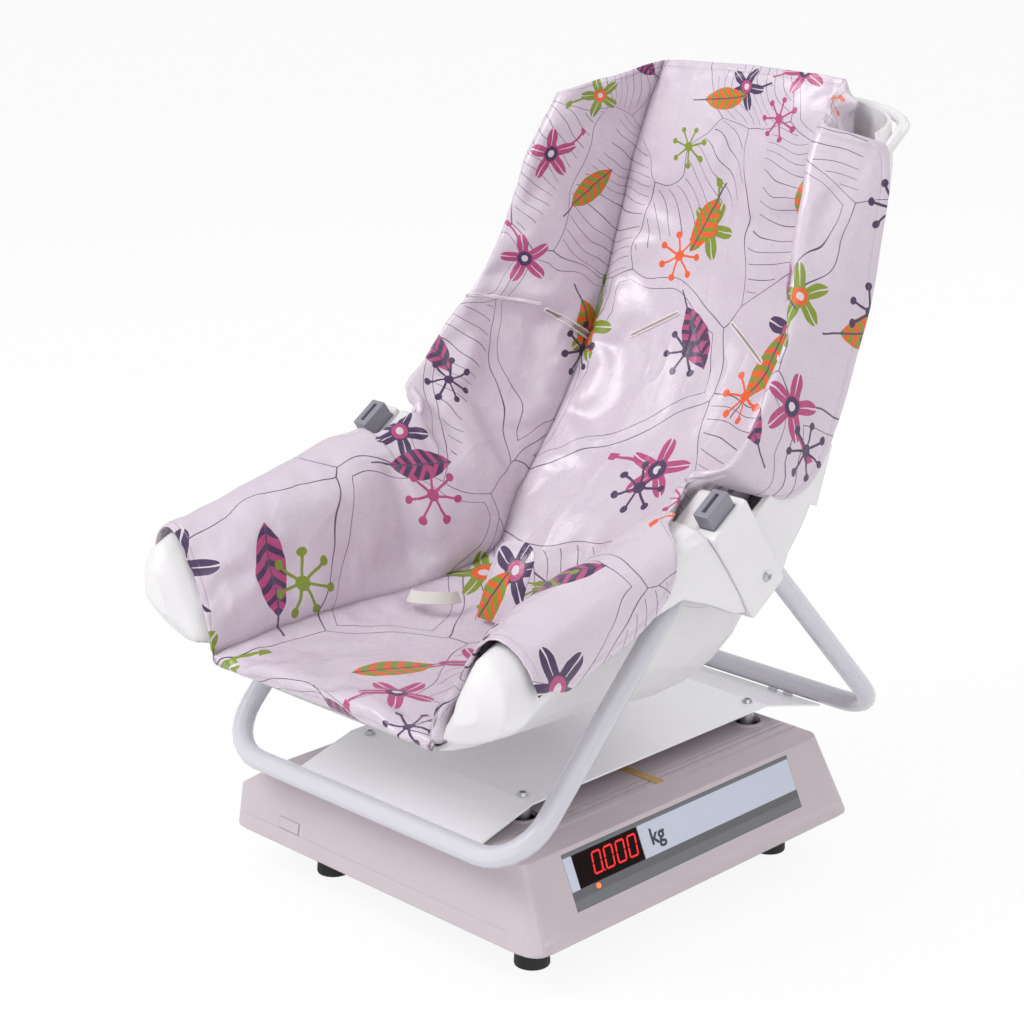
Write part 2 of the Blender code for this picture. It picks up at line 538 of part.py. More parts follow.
def build_base():
    room = HOUSING_WALL + PLATE_CLEAR
    plate = box("base_plate", (BASE_WIDTH - 2 * room, BASE_DEPTH - 2 * room, PLATE_THICK),
                (BASE_SHIFT_X, BASE_SHIFT_Y, BASE_BOTTOM + PLATE_THICK / 2), HOUSING_PLASTIC)
    corner = plate.modifiers.new("corners", "BEVEL")
    corner.width = CORNER_RADIUS
    corner.segments = 4
    corner.limit_method = "WEIGHT"
    mesh = plate.data
    weights = mesh.attributes.new("bevel_weight_edge", "FLOAT", "EDGE")
    for edge in mesh.edges:
        first, second = (mesh.vertices[i].co for i in edge.vertices)
        weights.data[edge.index].value = 1.0 if abs(first.z - second.z) > PLATE_THICK / 2 else 0.0
    for x in (FOOT_RIGHT_X, FOOT_LEFT_X):
        for y in (FOOT_FRONT_Y, FOOT_BACK_Y):
            name = foot_name(x, y)
            boss_radius = STUD_RADIUS + BOSS_WALL
            boss = cylinder("foot_boss", boss_radius, BOSS_HEIGHT + PLATE_THICK,
                            (x, y, BASE_BOTTOM + (BOSS_HEIGHT + PLATE_THICK) / 2), sides=14)
            join(plate, boss)
            bore = cylinder("foot_bore", STUD_RADIUS + GAP, (BOSS_HEIGHT + PLATE_THICK) * 3,
                            (x, y, PLATE_TOP), sides=14)
            cut(plate, bore)
            foot = cylinder(name, FOOT_RADIUS, FOOT_HEIGHT, (x, y, FOOT_HEIGHT / 2), RUBBER, sides=28,
                            top=FOOT_RADIUS - FOOT_TAPER)
            round_edges(foot, FOOT_TAPER)
            stud_top = BASE_BOTTOM + STUD_GRIP
            stud_length = stud_top - FOOT_HEIGHT / 2
            stud = cylinder("foot_stud", STUD_RADIUS, stud_length,
                            (0.0, 0.0, FOOT_HEIGHT / 2 - FOOT_HEIGHT / 2 + stud_length / 2), sides=16)
            stud.location = (x, y, FOOT_HEIGHT / 2 + stud_length / 2)
            join(foot, stud)
    # Standoffs for the main board
    for x in (-1, 1):
        for y in (-1, 1):
            place = (BOARD_X + x * (BOARD_WIDTH / 2 - STANDOFF_RADIUS),
                     BOARD_Y + y * (BOARD_LENGTH / 2 - STANDOFF_RADIUS),
                     BASE_BOTTOM + (PLATE_THICK + BOARD_LIFT) / 2)
            join(plate, cylinder("standoff", STANDOFF_RADIUS, PLATE_THICK + BOARD_LIFT, place, sides=10))
    board_z = PLATE_TOP + BOARD_LIFT + GAP
    board = box("main_board", (BOARD_WIDTH, BOARD_LENGTH, BOARD_THICK),
                (BOARD_X, BOARD_Y, board_z + BOARD_THICK / 2), CIRCUIT_BOARD)
    for share, size_share in ((-0.28, 0.30), (0.08, 0.42), (0.36, 0.16)):
        chip = box("chip", (BOARD_WIDTH * size_share * 1.2, BOARD_LENGTH * size_share * 0.6, CHIP_HEIGHT),
                   (BOARD_X, BOARD_Y + BOARD_LENGTH * share, board_z + BOARD_THICK / 2 + CHIP_HEIGHT / 2))
        join(board, chip)
    battery_x = BASE_LEFT + room + BATTERY_WIDTH / 2 + BOSS_WALL
    box("battery_pack", (BATTERY_WIDTH, BATTERY_LENGTH, BATTERY_HEIGHT),
        (battery_x, BATTERY_Y, PLATE_TOP + GAP + BATTERY_HEIGHT / 2), BATTERY_WRAP, bevel=BOSS_WALL / 2)
    # Load cell: fixed end at -Y, live end at +Y
    spacer_z = PLATE_TOP + GAP + SPACER_THICK / 2
    end_y = CELL_LENGTH / 2 - SPACER_LENGTH / 2
    box("cell_spacer_fixed", (CELL_WIDTH, SPACER_LENGTH, SPACER_THICK), (0.0, -end_y, spacer_z), STEEL)
    cell_bottom = spacer_z + SPACER_THICK / 2 + GAP
    cell = box("load_cell", (CELL_WIDTH, CELL_LENGTH, CELL_HEIGHT),
               (0.0, 0.0, cell_bottom + CELL_HEIGHT / 2), ALUMINIUM)
    for y in (-CELL_HOLE_PITCH / 2, CELL_HOLE_PITCH / 2):
        cut(cell, cylinder("cell_hole", CELL_HOLE_RADIUS, CELL_WIDTH * 2,
                           (0.0, y, cell_bottom + CELL_HEIGHT / 2), axis="X", sides=24))
    live_z = cell_bottom + CELL_HEIGHT + GAP
    box("cell_spacer_live", (CELL_WIDTH, SPACER_LENGTH, SPACER_THICK),
        (0.0, end_y, live_z + SPACER_THICK / 2), STEEL)
    spider_z = live_z + SPACER_THICK + GAP
    spider = box("platform_spider", (SPIDER_HUB, 2 * end_y + SPIDER_HUB, SPIDER_THICK),
                 (0.0, 0.0, spider_z + SPIDER_THICK / 2), STEEL)
    arm_length = 2 * math.hypot(POST_X, POST_Y) + SPIDER_ARM
    for side in (-1, 1):
        arm = box("spider_arm", (SPIDER_ARM, arm_length, SPIDER_THICK),
                  (0.0, 0.0, spider_z + SPIDER_THICK / 2))
        arm.rotation_euler = (0.0, 0.0, side * math.atan2(POST_X, POST_Y))
        join(spider, arm)
    post_bottom = spider_z + SPIDER_THICK + GAP
    post_top = TRAY_HEIGHT - TRAY_GAUGE - GAP
    for x in (-POST_X, POST_X):
        for y in (-POST_Y, POST_Y):
            post = cylinder(corner_name("platform_post", x, y), POST_RADIUS, post_top - post_bottom,
                            (x, y, (post_top + post_bottom) / 2), ALUMINIUM, sides=20)
            cut(post, cylinder("post_bore", SCREW_SHANK_RADIUS + GAP, (post_top - post_bottom) * 3,
                               (x, y, post_top), sides=14))


def corner_name(stem, x, y):
    return stem + ("_front" if y < 0 else "_back") + ("_left" if x > 0 else "_right")


def foot_name(x, y):
    return corner_name("foot", x, y)


# Tray and its tubes
TAB_LENGTH = 0.006
TAB_WIDTH = 0.008
TAB_PITCH = 0.08            # share of the tray's half width between the tabs of a pair


def build_tray():
    slope_angle = math.atan2(TRAY_DROP, TRAY_REACH - TRAY_BEND)
    profile = [(-TRAY_REACH, TRAY_HEIGHT - TRAY_DROP), (-TRAY_BEND, TRAY_HEIGHT),
               (TRAY_BEND, TRAY_HEIGHT), (TRAY_REACH, TRAY_HEIGHT - TRAY_DROP)]
    fall = TRAY_GAUGE / math.cos(slope_angle / 2)
    outline = profile + [(y, z - (TRAY_GAUGE if abs(y) < TRAY_REACH else fall)) for y, z in reversed(profile)]
    tray = plate_from_outline("tray_plate", outline, 2 * TRAY_HALF_WIDTH, WHITE_PAINT)
    # Short tabs rise from the bent-down edges to the cross tubes
    for side, cross in ((-1, FRONT_CROSS), (1, REAR_CROSS)):
        foot = Vector((side * (TRAY_REACH - TAB_LENGTH / 2), TRAY_HEIGHT - TRAY_DROP - TRAY_GAUGE / 2))
        foot.y += TAB_LENGTH / 2 * math.tan(slope_angle)
        reach = Vector(cross) - foot
        length = reach.length - TUBE_RADIUS - GAP
        middle = foot + reach.normalized() * length / 2
        for place in (-0.6 - TAB_PITCH, -0.6 + TAB_PITCH, 0.6 - TAB_PITCH, 0.6 + TAB_PITCH):
            tab = box("weld_tab", (TAB_WIDTH, TAB_LENGTH / 2, length),
                      (TRAY_HALF_WIDTH * place, middle.x, middle.y))
            tab.rotation_euler = (-math.atan2(reach.x, reach.y), 0.0, 0.0)
            join(tray, tab)
    for x in (-POST_X, POST_X):
        for y in (-POST_Y, POST_Y):
            cut(tray, cylinder("tray_hole", SCREW_SHANK_RADIUS + GAP, TRAY_GAUGE * 4,
                               (x, y, TRAY_HEIGHT), sides=14))
            base_screw(corner_name("tray_screw", x, y), (x, y, TRAY_HEIGHT), STEEL)


LEG_END_LEFT = 0.026        # how far short of the tubes' crossing each leg ends


def leg_route(side, extra=0.0):
    # Cross tube along X, then two legs that rise towards the hinge blocks
    cross, slope = (FRONT_CROSS, FRONT_SLOPE) if side < 0 else (REAR_CROSS, REAR_SLOPE)
    rise = Vector((0.0, -side * math.cos(slope), math.sin(slope)))
    corner = Vector((LEG_X, *cross))
    total = abs(cross[0]) / math.cos(slope) - LEG_END_LEFT + extra
    points = [corner + rise * total]
    centre = corner + Vector((-TUBE_BEND, 0.0, 0.0)) + rise * TUBE_BEND
    for angle in np.linspace(0.0, math.pi / 2, 8):
        points.append(centre + Vector((TUBE_BEND * math.cos(angle), 0.0, 0.0))
                      - rise * (TUBE_BEND * math.sin(angle)))
    return points + [Vector((-p.x, p.y, p.z)) for p in reversed(points)]


def build_legs():
    tube("front_leg_tube", leg_route(-1), TUBE_RADIUS, WHITE_PAINT, resolution=3)
    tube("rear_leg_tube", leg_route(1), TUBE_RADIUS, WHITE_PAINT, resolution=3)


# Hinge blocks: a frame at the recline axis whose Y runs up the block's short side
BLOCK_INNER = 0.1430
BLOCK_OUTER = 0.1672
EAR_INNER = 0.1678
EAR_OUTER = 0.1728
CAP_OUTER = 0.1880
BLOCK_FRONT = 0.0200        # from the axis along the block's short direction
BLOCK_REAR = 0.0390
BLOCK_UP = 0.0640           # from the axis along the block's long direction
BLOCK_DOWN = 0.0160
BLOCK_SHOULDER = 0.0200     # height where the block's rear face starts to lean in
CAP_HALF = 0.0210
CAP_SHIFT = -0.0060          # cap and button middle from the axis along the short direction
CAP_UP = 0.0660
CAP_DOWN = 0.0180
CAP_ROUND = 0.003
EAR_ROOM_FRONT = 0.0165
EAR_ROOM_UP = 0.0370
PIN_BOSS = 0.0150
BUTTON_LENGTH = 0.026
BUTTON_THICK = 0.0140
BUTTON_TALL = 0.026
BUTTON_PROUD = 0.0130
BUTTON_CLEAR = 0.0005
BUTTON_TRAVEL = 0.005
BUTTON_SLOT = 0.0035
BUTTON_X = 0.1755
SPRING_REST = 0.006
BUTTON_SLOT_SHARE = 0.7
SPRING_RADIUS = 0.0042
SPRING_WIRE = 0.0005
SPRING_TURNS = 4
SPRING_SIDES = 8


def hinge_frame(side):
    frame = bpy.data.objects.new("hinge_frame_" + ("left" if side > 0 else "right"), None)
    PARTS.objects.link(frame)
    frame.parent = ROOT
    frame.location = (0.0, HINGE_Y, HINGE_Z)
    frame.rotation_euler = (HINGE_TILT, 0.0, 0.0)
    return frame


def build_hinge(side):
    # In the hinge frame +Y runs up and back along the short side, +Z up the long side
    word = "_left" if side > 0 else "_right"
    frame = hinge_frame(side)

    def span_x(low, high):
        return side * (low + high) / 2

    block_outline = [(-BLOCK_FRONT, -BLOCK_DOWN), (BLOCK_REAR, -BLOCK_DOWN), (BLOCK_REAR, BLOCK_SHOULDER),
                     (CAP_HALF, BLOCK_UP), (-BLOCK_FRONT, BLOCK_UP)]
    block_outline = [(y + CAP_SHIFT, z) for y, z in block_outline]
    block = plate_from_outline("hinge_block" + word, block_outline, BLOCK_OUTER - BLOCK_INNER,
                               WHITE_PLASTIC, frame)
    block.location.x = span_x(BLOCK_INNER, BLOCK_OUTER)
    round_edges(block, CAP_ROUND)
    for leg in (-1, 1):
        bore = tube("leg_bore", leg_route(leg, GAP * 2), TUBE_RADIUS + GAP * 2, None, ROOT, resolution=3)
        cut(block, bore)
    pin_radius = SCREW_SHANK_RADIUS + GAP
    cut(block, cylinder("pin_bore", pin_radius, (BLOCK_OUTER - BLOCK_INNER) * 2,
                        (span_x(BLOCK_INNER, BLOCK_OUTER), 0.0, 0.0), None, frame, "X", 16))
    cap_inner = BLOCK_OUTER + GAP
    cap_middle = span_x(cap_inner, CAP_OUTER)
    cap = box("hinge_cap" + word, (CAP_OUTER - cap_inner, 2 * CAP_HALF, CAP_UP + CAP_DOWN),
              (cap_middle, CAP_SHIFT, (CAP_UP - CAP_DOWN) / 2), WHITE_PLASTIC, frame, CAP_ROUND)
    room = (EAR_OUTER + GAP * 2 - cap_inner) * 2
    cut(cap, box("ear_room", (room, CAP_HALF * 2 + EAR_ROOM_FRONT, EAR_ROOM_UP + CAP_DOWN * 2),
                 (side * cap_inner, CAP_HALF - EAR_ROOM_FRONT / 2, EAR_ROOM_UP / 2 - CAP_DOWN), None, frame))
    cut(cap, cylinder("cap_bore", pin_radius, (CAP_OUTER - cap_inner) * 4, (cap_middle, 0.0, 0.0),
                      None, frame, "X", 16))
    well_depth = BUTTON_TALL - BUTTON_PROUD + BUTTON_TRAVEL + SPRING_REST
    button_x = side * BUTTON_X
    cut(cap, box("button_well", (BUTTON_THICK + 2 * BUTTON_CLEAR, BUTTON_LENGTH + 2 * BUTTON_CLEAR,
                                 well_depth * 2), (button_x, CAP_SHIFT, CAP_UP), None, frame))
    button_z = CAP_UP + BUTTON_PROUD - BUTTON_TALL / 2
    button = box("release_button" + word, (BUTTON_THICK, BUTTON_LENGTH, BUTTON_TALL),
                 (button_x, CAP_SHIFT, button_z), GREY_PLASTIC, frame, BUTTON_CLEAR * 2)
    slot = (BUTTON_SLOT, BUTTON_LENGTH * BUTTON_SLOT_SHARE, BUTTON_SLOT * 2)
    cut(button, box("button_slot", slot, (button_x, CAP_SHIFT, CAP_UP + BUTTON_PROUD), None, frame))
    spring_top = button_z - BUTTON_TALL / 2 - GAP
    spring_bottom = CAP_UP - well_depth + GAP
    coil = []
    steps = SPRING_TURNS * SPRING_SIDES
    height = spring_top - spring_bottom - 2 * SPRING_WIRE
    for step in range(steps + 1):
        angle = 2 * math.pi * step / SPRING_SIDES
        coil.append((button_x + SPRING_RADIUS * math.cos(angle),
                     CAP_SHIFT + SPRING_RADIUS * math.sin(angle),
                     spring_bottom + SPRING_WIRE + height * step / steps))
    tube("button_spring" + word, coil, SPRING_WIRE, STEEL, frame, resolution=1)
    base_screw("hinge_screw" + word, (side * CAP_OUTER, 0.0, 0.0), STEEL, "X", side, frame)


# Seat shell: a deep tub between two arm channels. Rows run from the front lip to the rear edge.
TUB_ROWS = {
    "y": (-0.2385, -0.2150, -0.1600, -0.1000, -0.0450, 0.0000, 0.0350, 0.0620, 0.0770, 0.0830),
    "floor": (0.1900, 0.1840, 0.1790, 0.1720, 0.1600, 0.1520, 0.1540, 0.1680, 0.1900, 0.2150),
    "half": (0.1120, 0.1150, 0.1150, 0.1080, 0.0980, 0.0900, 0.0840, 0.0760, 0.0700, 0.0650),
    "rim": (0.2350, 0.2600, 0.2760, 0.2900, 0.2950, 0.2700, 0.2450, 0.2330, 0.2300, 0.2290),
    "top": (0.1340, 0.1370, 0.1385, 0.1385, 0.1370, 0.1350, 0.1330, 0.1260, 0.1150, 0.1050),
}
TUB_ACROSS = 20
TUB_ALONG = 16


def tub_point(across, along):
    # across runs -1..1 over the tub's section, along runs 0..1 from front to rear
    rows = np.linspace(0.0, 1.0, len(TUB_ROWS["y"]))
    read = {key: smooth_value(rows, values, along) for key, values in TUB_ROWS.items()}
    u = abs(across)
    floor_share = 0.5
    if u < floor_share:
        x = read["half"] * (u / floor_share)
        z = read["floor"] + (read["rim"] - read["floor"]) * 0.05 * (u / floor_share) ** 4
    else:
        t = (u - floor_share) / (1 - floor_share)
        turn = t * math.pi / 2
        x = read["half"] + (read["top"] - read["half"]) * math.sin(turn)
        z = read["floor"] + (read["rim"] - read["floor"]) * (0.05 + 0.95 * (0.35 * (1 - math.cos(turn))
                                                                           + 0.65 * t**1.3))
    return Vector((math.copysign(x, across), read["y"], z))


def sheet(name, place, across, along, thickness, finish, parent=ROOT, side=-1.0, group=None):
    """Grid bent to place(across, along), thickened by Solidify; group(across, along) scales it."""
    shape = bmesh.new()
    bmesh.ops.create_grid(shape, x_segments=across, y_segments=along, size=1.0)
    spots = []
    for vert in shape.verts:
        spots.append((vert.co.x, (vert.co.y + 1) / 2))
        vert.co = place(*spots[-1])
    mesh = bpy.data.meshes.new(name)
    shape.to_mesh(mesh)
    shape.free()
    mesh.shade_smooth()
    made = add_object(name, mesh, finish, parent)
    wall = made.modifiers.new("thickness", "SOLIDIFY")
    wall.thickness = thickness
    wall.offset = side
    wall.use_even_offset = False
    wall.use_rim = True
    if group:
        weights = made.vertex_groups.new(name="thickness")
        for index, spot in enumerate(spots):
            weights.add([index], group(*spot), "REPLACE")
        wall.vertex_group = "thickness"
    return made


# Arm channels: bars from the horn at the front to the hinge cap, hollow from below.
# Eight corners a station, from the top outwards and round: each corner's x and height
ARM_STATIONS = (
    (-0.2620, ((0.165, 0.256), (0.172, 0.252), (0.175, 0.243), (0.173, 0.234),
               (0.164, 0.228), (0.152, 0.226), (0.153, 0.238), (0.158, 0.249))),
    (-0.2560, ((0.166, 0.268), (0.178, 0.261), (0.185, 0.246), (0.182, 0.230),
               (0.165, 0.218), (0.138, 0.212), (0.146, 0.233), (0.156, 0.255))),
    (-0.2400, ((0.168, 0.278), (0.184, 0.268), (0.192, 0.247), (0.189, 0.227),
               (0.166, 0.212), (0.123, 0.203), (0.138, 0.232), (0.153, 0.263))),
    (-0.2150, ((0.164, 0.281), (0.183, 0.275), (0.191, 0.255), (0.187, 0.236),
               (0.163, 0.226), (0.130, 0.216), (0.134, 0.240), (0.146, 0.270))),
    (-0.1800, ((0.160, 0.290), (0.181, 0.284), (0.188, 0.265), (0.185, 0.248),
               (0.160, 0.240), (0.139, 0.238), (0.1365, 0.256), (0.143, 0.281))),
    (-0.1200, ((0.160, 0.304), (0.180, 0.299), (0.187, 0.281), (0.184, 0.262),
               (0.160, 0.255), (0.141, 0.254), (0.1375, 0.276), (0.143, 0.297))),
    (-0.0700, ((0.160, 0.316), (0.180, 0.311), (0.186, 0.293), (0.184, 0.272),
               (0.160, 0.265), (0.141, 0.264), (0.1375, 0.288), (0.143, 0.309))),
    (-0.0250, ((0.160, 0.324), (0.180, 0.319), (0.186, 0.285), (0.184, 0.250),
               (0.160, 0.246), (0.141, 0.246), (0.1375, 0.285), (0.143, 0.318))),
    (0.0100, ((0.160, 0.331), (0.180, 0.326), (0.186, 0.285), (0.184, 0.242),
              (0.160, 0.238), (0.141, 0.238), (0.1375, 0.285), (0.143, 0.325))),
)
ARM_ALONG = 13
ARM_SIDES = 19
ARM_WALL = 0.0030
INNER_WALLS = 2.2           # inner wall of the channel, in wall thicknesses
HOLLOW_START = -0.1950      # the horn is solid up to here
SEAM_GAP = 0.0006
MERGE = 0.0001              # points closer than this become one


def arm_corner(at, y):
    # One point of the arm's section at y; at runs 0..1 round it from the top outwards
    places = [station[0] for station in ARM_STATIONS]
    count = len(ARM_STATIONS[0][1])
    first = int(math.floor(at * count))
    t = at * count - first
    near = []
    for index in range(first - 1, first + 3):
        corners = [station[1][index % count] for station in ARM_STATIONS]
        near.append(Vector((smooth_value(places, [c[0] for c in corners], y),
                            smooth_value(places, [c[1] for c in corners], y))))
    before, here, after, beyond = near
    return 0.5 * (2 * here + (after - before) * t + (2 * before - 5 * here + 4 * after - beyond) * t**2
                  + (3 * here - before - 3 * after + beyond) * t**3)


def arm_offset(at, y, out):
    # The same point moved outwards, square to the section's outline
    step = 0.01
    along = (arm_corner(at + step, y) - arm_corner(at - step, y)).normalized()
    return arm_corner(at, y) + Vector((along.y, -along.x)) * -out


def arm_ring(y, inset=0.0, drop=0.0):
    # inset and drop make the hollow: walls all round, the inner one thicker, and no floor
    ring = []
    for step in range(ARM_SIDES):
        at = step / ARM_SIDES
        spot = arm_offset(at, y, -inset)
        low = 0.25 < at < 0.73
        x = max(spot.x, arm_corner(0.75, y).x + inset * INNER_WALLS)
        ring.append(Vector((x if inset else spot.x, y, spot.y - (drop if low else 0.0))))
    return ring


def loft(rings, mirror=1, strips=False):
    shape = bmesh.new()
    rows = [[shape.verts.new((mirror * p.x, p.y, p.z)) for p in ring] for ring in rings]
    count = len(rings[0])
    for first, second in zip(rows, rows[1:]):
        for i in range(count):
            j = (i + 1) % count
            shape.faces.new((first[i], first[j], second[j], second[i]))
    if not strips:
        shape.faces.new(list(reversed(rows[0])))
        shape.faces.new(rows[-1])
        return shape
    # A padded sheet's ring runs along its face and back along its underside: close it across
    for row in (rows[0], rows[-1]):
        for i in range(count // 2 - 1):
            shape.faces.new((row[i], row[i + 1], row[count - 2 - i], row[count - 1 - i]))
    return shape


def build_seat_shell():
    shell = sheet("seat_shell", tub_point, TUB_ACROSS, TUB_ALONG, SHELL_WALL, WHITE_PLASTIC)
    seam_normal = Vector((0.0, math.cos(HINGE_TILT), math.sin(HINGE_TILT)))
    seam_point = Vector((0.0, HINGE_Y, HINGE_Z)) - seam_normal * (CAP_HALF - CAP_SHIFT + SEAM_GAP)
    start = ARM_STATIONS[0][0]
    end = ARM_STATIONS[-1][0]
    for side in (-1, 1):
        shares = np.linspace(0.0, 1.0, ARM_ALONG) ** 1.3
        bar = loft([arm_ring(start + (end - start) * share) for share in shares], side)
        bmesh.ops.recalc_face_normals(bar, faces=bar.faces)
        trim(bar, seam_point, seam_normal)
        arm = from_bmesh("arm_bar", bar, None, smooth=True)
        hollow = [arm_ring(y, ARM_WALL, DECK_HEIGHT) for y in np.linspace(HOLLOW_START, end + OVERRUN, 9)]
        core = from_bmesh("arm_core", loft(hollow, side), None, smooth=True)
        cut(arm, core)
        join(shell, arm, check_self=True)
    weld = shell.modifiers.new("weld", "WELD")
    weld.merge_threshold = MERGE


# Backrest shell: front surface from its lower edge to the top, centre line and side edge
SHELL_ROWS = {
    "centre_y": (0.0740, 0.0960, 0.1260, 0.1670, 0.1890, 0.2080, 0.2210, 0.2300),
    "centre_z": (0.2660, 0.2840, 0.3240, 0.3880, 0.4420, 0.4950, 0.5400, 0.5780),
    "edge_x": (0.1400, 0.1600, 0.1640, 0.1640, 0.1630, 0.1610, 0.1570, 0.1460),
    "edge_y": (0.0670, 0.0810, 0.0950, 0.1110, 0.1300, 0.1490, 0.1620, 0.1730),
    "edge_z": (0.2830, 0.3040, 0.3340, 0.3810, 0.4380, 0.4960, 0.5380, 0.5620),
}
SHELL_LEAN = math.radians(26)
SHELL_SQUARE = 2.6          # exponent of the section's rounded box
SHELL_ACROSS = 22
SHELL_ALONG = 14
RIM_RADIUS = 0.0090
RIM_SIDE = 0.50             # share of the rim's radius left down the sides
EAR_RADIUS = 0.0460
EAR_ROOT_WIDTH = 0.0115
EAR_OUTLINE = ((0.0160, 0.3120), (0.0400, 0.3280), (0.0770, 0.3560), (0.0970, 0.3520), (0.0840, 0.3140),
               (0.0680, 0.2900), (0.0540, 0.2740), (0.0460, 0.2560), (0.0340, 0.2480))


def read_rows(rows, along):
    places = np.linspace(0.0, 1.0, len(next(iter(rows.values()))))
    return {key: smooth_value(places, values, along) for key, values in rows.items()}


def shell_point(across, along, lift=0.0):
    # Boxy section: flat in the middle, turning forward to the side edges; lift is towards the sitter
    read = read_rows(SHELL_ROWS, along)
    turn = abs(across) * math.pi / 2
    x = (read["edge_x"] - lift) * math.sin(turn) ** (2 / SHELL_SQUARE)
    depth = 1 - max(math.cos(turn), 0.0) ** (2 / SHELL_SQUARE)
    lean = SHELL_LEAN
    y = read["centre_y"] + (read["edge_y"] - read["centre_y"]) * depth - lift * math.cos(lean)
    z = read["centre_z"] + (read["edge_z"] - read["centre_z"]) * depth + lift * math.sin(lean)
    return Vector((math.copysign(x, across), y, z))


def build_backrest():
    pivot = bpy.data.objects.new("backrest_pivot", None)
    PARTS.objects.link(pivot)
    pivot.parent = ROOT
    pivot.location = (0.0, HINGE_Y, HINGE_Z)
    offset = Vector((0.0, HINGE_Y, HINGE_Z))
    shell = sheet("backrest_shell", lambda a, b: shell_point(a, b) - offset, SHELL_ACROSS, SHELL_ALONG,
                  SHELL_WALL, WHITE_PLASTIC, pivot)
    # The rim rolls back behind the edge, thicker round the top than down the sides
    rim = []
    for along in np.linspace(0.60, 1.0, 6)[:-1]:
        rim.append(shell_point(1.0, along, -RIM_RADIUS * RIM_SIDE) - offset)
    for across in np.linspace(0.94, 0.0, 8):
        rim.append(shell_point(across, 1.0, -RIM_RADIUS - SOFT_GAP) - offset)
    rim += [Vector((-p.x, p.y, p.z)) for p in reversed(rim[:-1])]
    join(shell, tube("shell_rim", rim, RIM_RADIUS * RIM_SIDE, None, pivot, resolution=1))
    pin = Vector((HINGE_Y, HINGE_Z))
    for side in (-1, 1):
        outline = [(y - HINGE_Y, z - HINGE_Z) for y, z in EAR_OUTLINE]
        lower = math.atan2(outline[-1][1], outline[-1][0])
        upper = math.atan2(outline[0][1], outline[0][0])
        outline += arc((0.0, 0.0), PIN_BOSS, lower - math.pi / 5, upper + math.pi / 5 - 2 * math.pi, 9)
        ear = plate_from_outline("ear_plate", outline, EAR_OUTER - EAR_INNER, None, pivot)
        ear.location.x = side * (EAR_OUTER + EAR_INNER) / 2
        cut(ear, cylinder("ear_bore", SCREW_SHANK_RADIUS + GAP, EAR_RADIUS, (side * EAR_OUTER, 0.0, 0.0),
                          None, pivot, "X", 16))
        join(shell, ear)
        root = box("ear_root", (EAR_ROOT_WIDTH, EAR_ROOT_DEEP, EAR_RADIUS),
                   (side * (EAR_OUTER - EAR_ROOT_WIDTH / 2), *EAR_ROOT_PLACE), None, pivot)
        root.rotation_euler = (-math.radians(20), 0.0, 0.0)
        join(shell, root)
    return pivot


EAR_ROOT_PLACE = (0.0780, 0.0560)
EAR_ROOT_DEEP = 0.0100


def spread(path, count, reach=1.0):
    # Evenly spaced points along a path of points, up to a share of its length
    path = [Vector(p) for p in path]
    lengths = [0.0]
    for first, second in zip(path, path[1:]):
        lengths.append(lengths[-1] + (second - first).length)
    made = []
    for want in np.linspace(0.0, lengths[-1] * reach, count):
        i = min(int(np.searchsorted(lengths, want, side="right")) - 1, len(path) - 2)
        t = (want - lengths[i]) / max(lengths[i + 1] - lengths[i], 1e-9)
        made.append(path[i].lerp(path[i + 1], min(max(t, 0.0), 1.0)))
    return made


# Seat cover: padded sheet hung between the arms and wrapped over them
COVER_ROWS = {
    "y": (-0.2480, -0.2420, -0.2270, -0.2050, -0.1650, -0.1200, -0.0950, -0.0750, -0.0500, -0.0250, 0.0050),
    "middle": (0.1990, 0.2020, 0.2045, 0.2045, 0.2035, 0.2020, 0.2025, 0.2040, 0.2080, 0.2150, 0.2230),
    "crease_x": (0.1030, 0.1040, 0.1060, 0.1080, 0.1090, 0.1060, 0.1030, 0.0990, 0.0930, 0.0880, 0.0820),
    "crease_z": (0.2010, 0.2030, 0.2050, 0.2070, 0.2090, 0.2110, 0.2120, 0.2130, 0.2160, 0.2200, 0.2240),
    "wall": (0.1100, 0.1110, 0.1130, 0.1160, 0.1170, 0.1160, 0.1150, 0.1140, 0.1110, 0.1060, 0.0960),
    "wrap": (0.27, 0.28, 0.32, 0.38, 0.39, 0.37, 0.30, 0.10, -0.10, -0.16, -0.20),
    "reach": (0.97, 1.00, 1.00, 1.00, 1.00, 1.00, 1.00, 1.00, 0.85, 0.42, 0.12),
    "thick": (0.0110, 0.0110, 0.0095, 0.0100, 0.0100, 0.0100, 0.0100, 0.0100, 0.0100, 0.0090, 0.0060),
    "rake": (0.0200, 0.0190, 0.0120, 0.0040, 0.0, 0.0, 0.0, 0.0, 0.0, 0.0, 0.0),
    "clear": (0.0054, 0.0060, 0.0062, 0.0052, 0.0034, 0.0032, 0.0042, 0.0048, 0.0036, 0.0028, 0.0028),
}
WALL_SHARE = 0.45           # part of the side's path that climbs the wall
WALL_POINTS = 4
COVER_STATIONS = 19
COVER_WRAP_POINTS = 9
COVER_WRAP_THICK = 0.0030
COVER_PUFF = 0.0035
PAD_SHARES = (0.0, 0.30, 0.60, 0.85, 0.96)


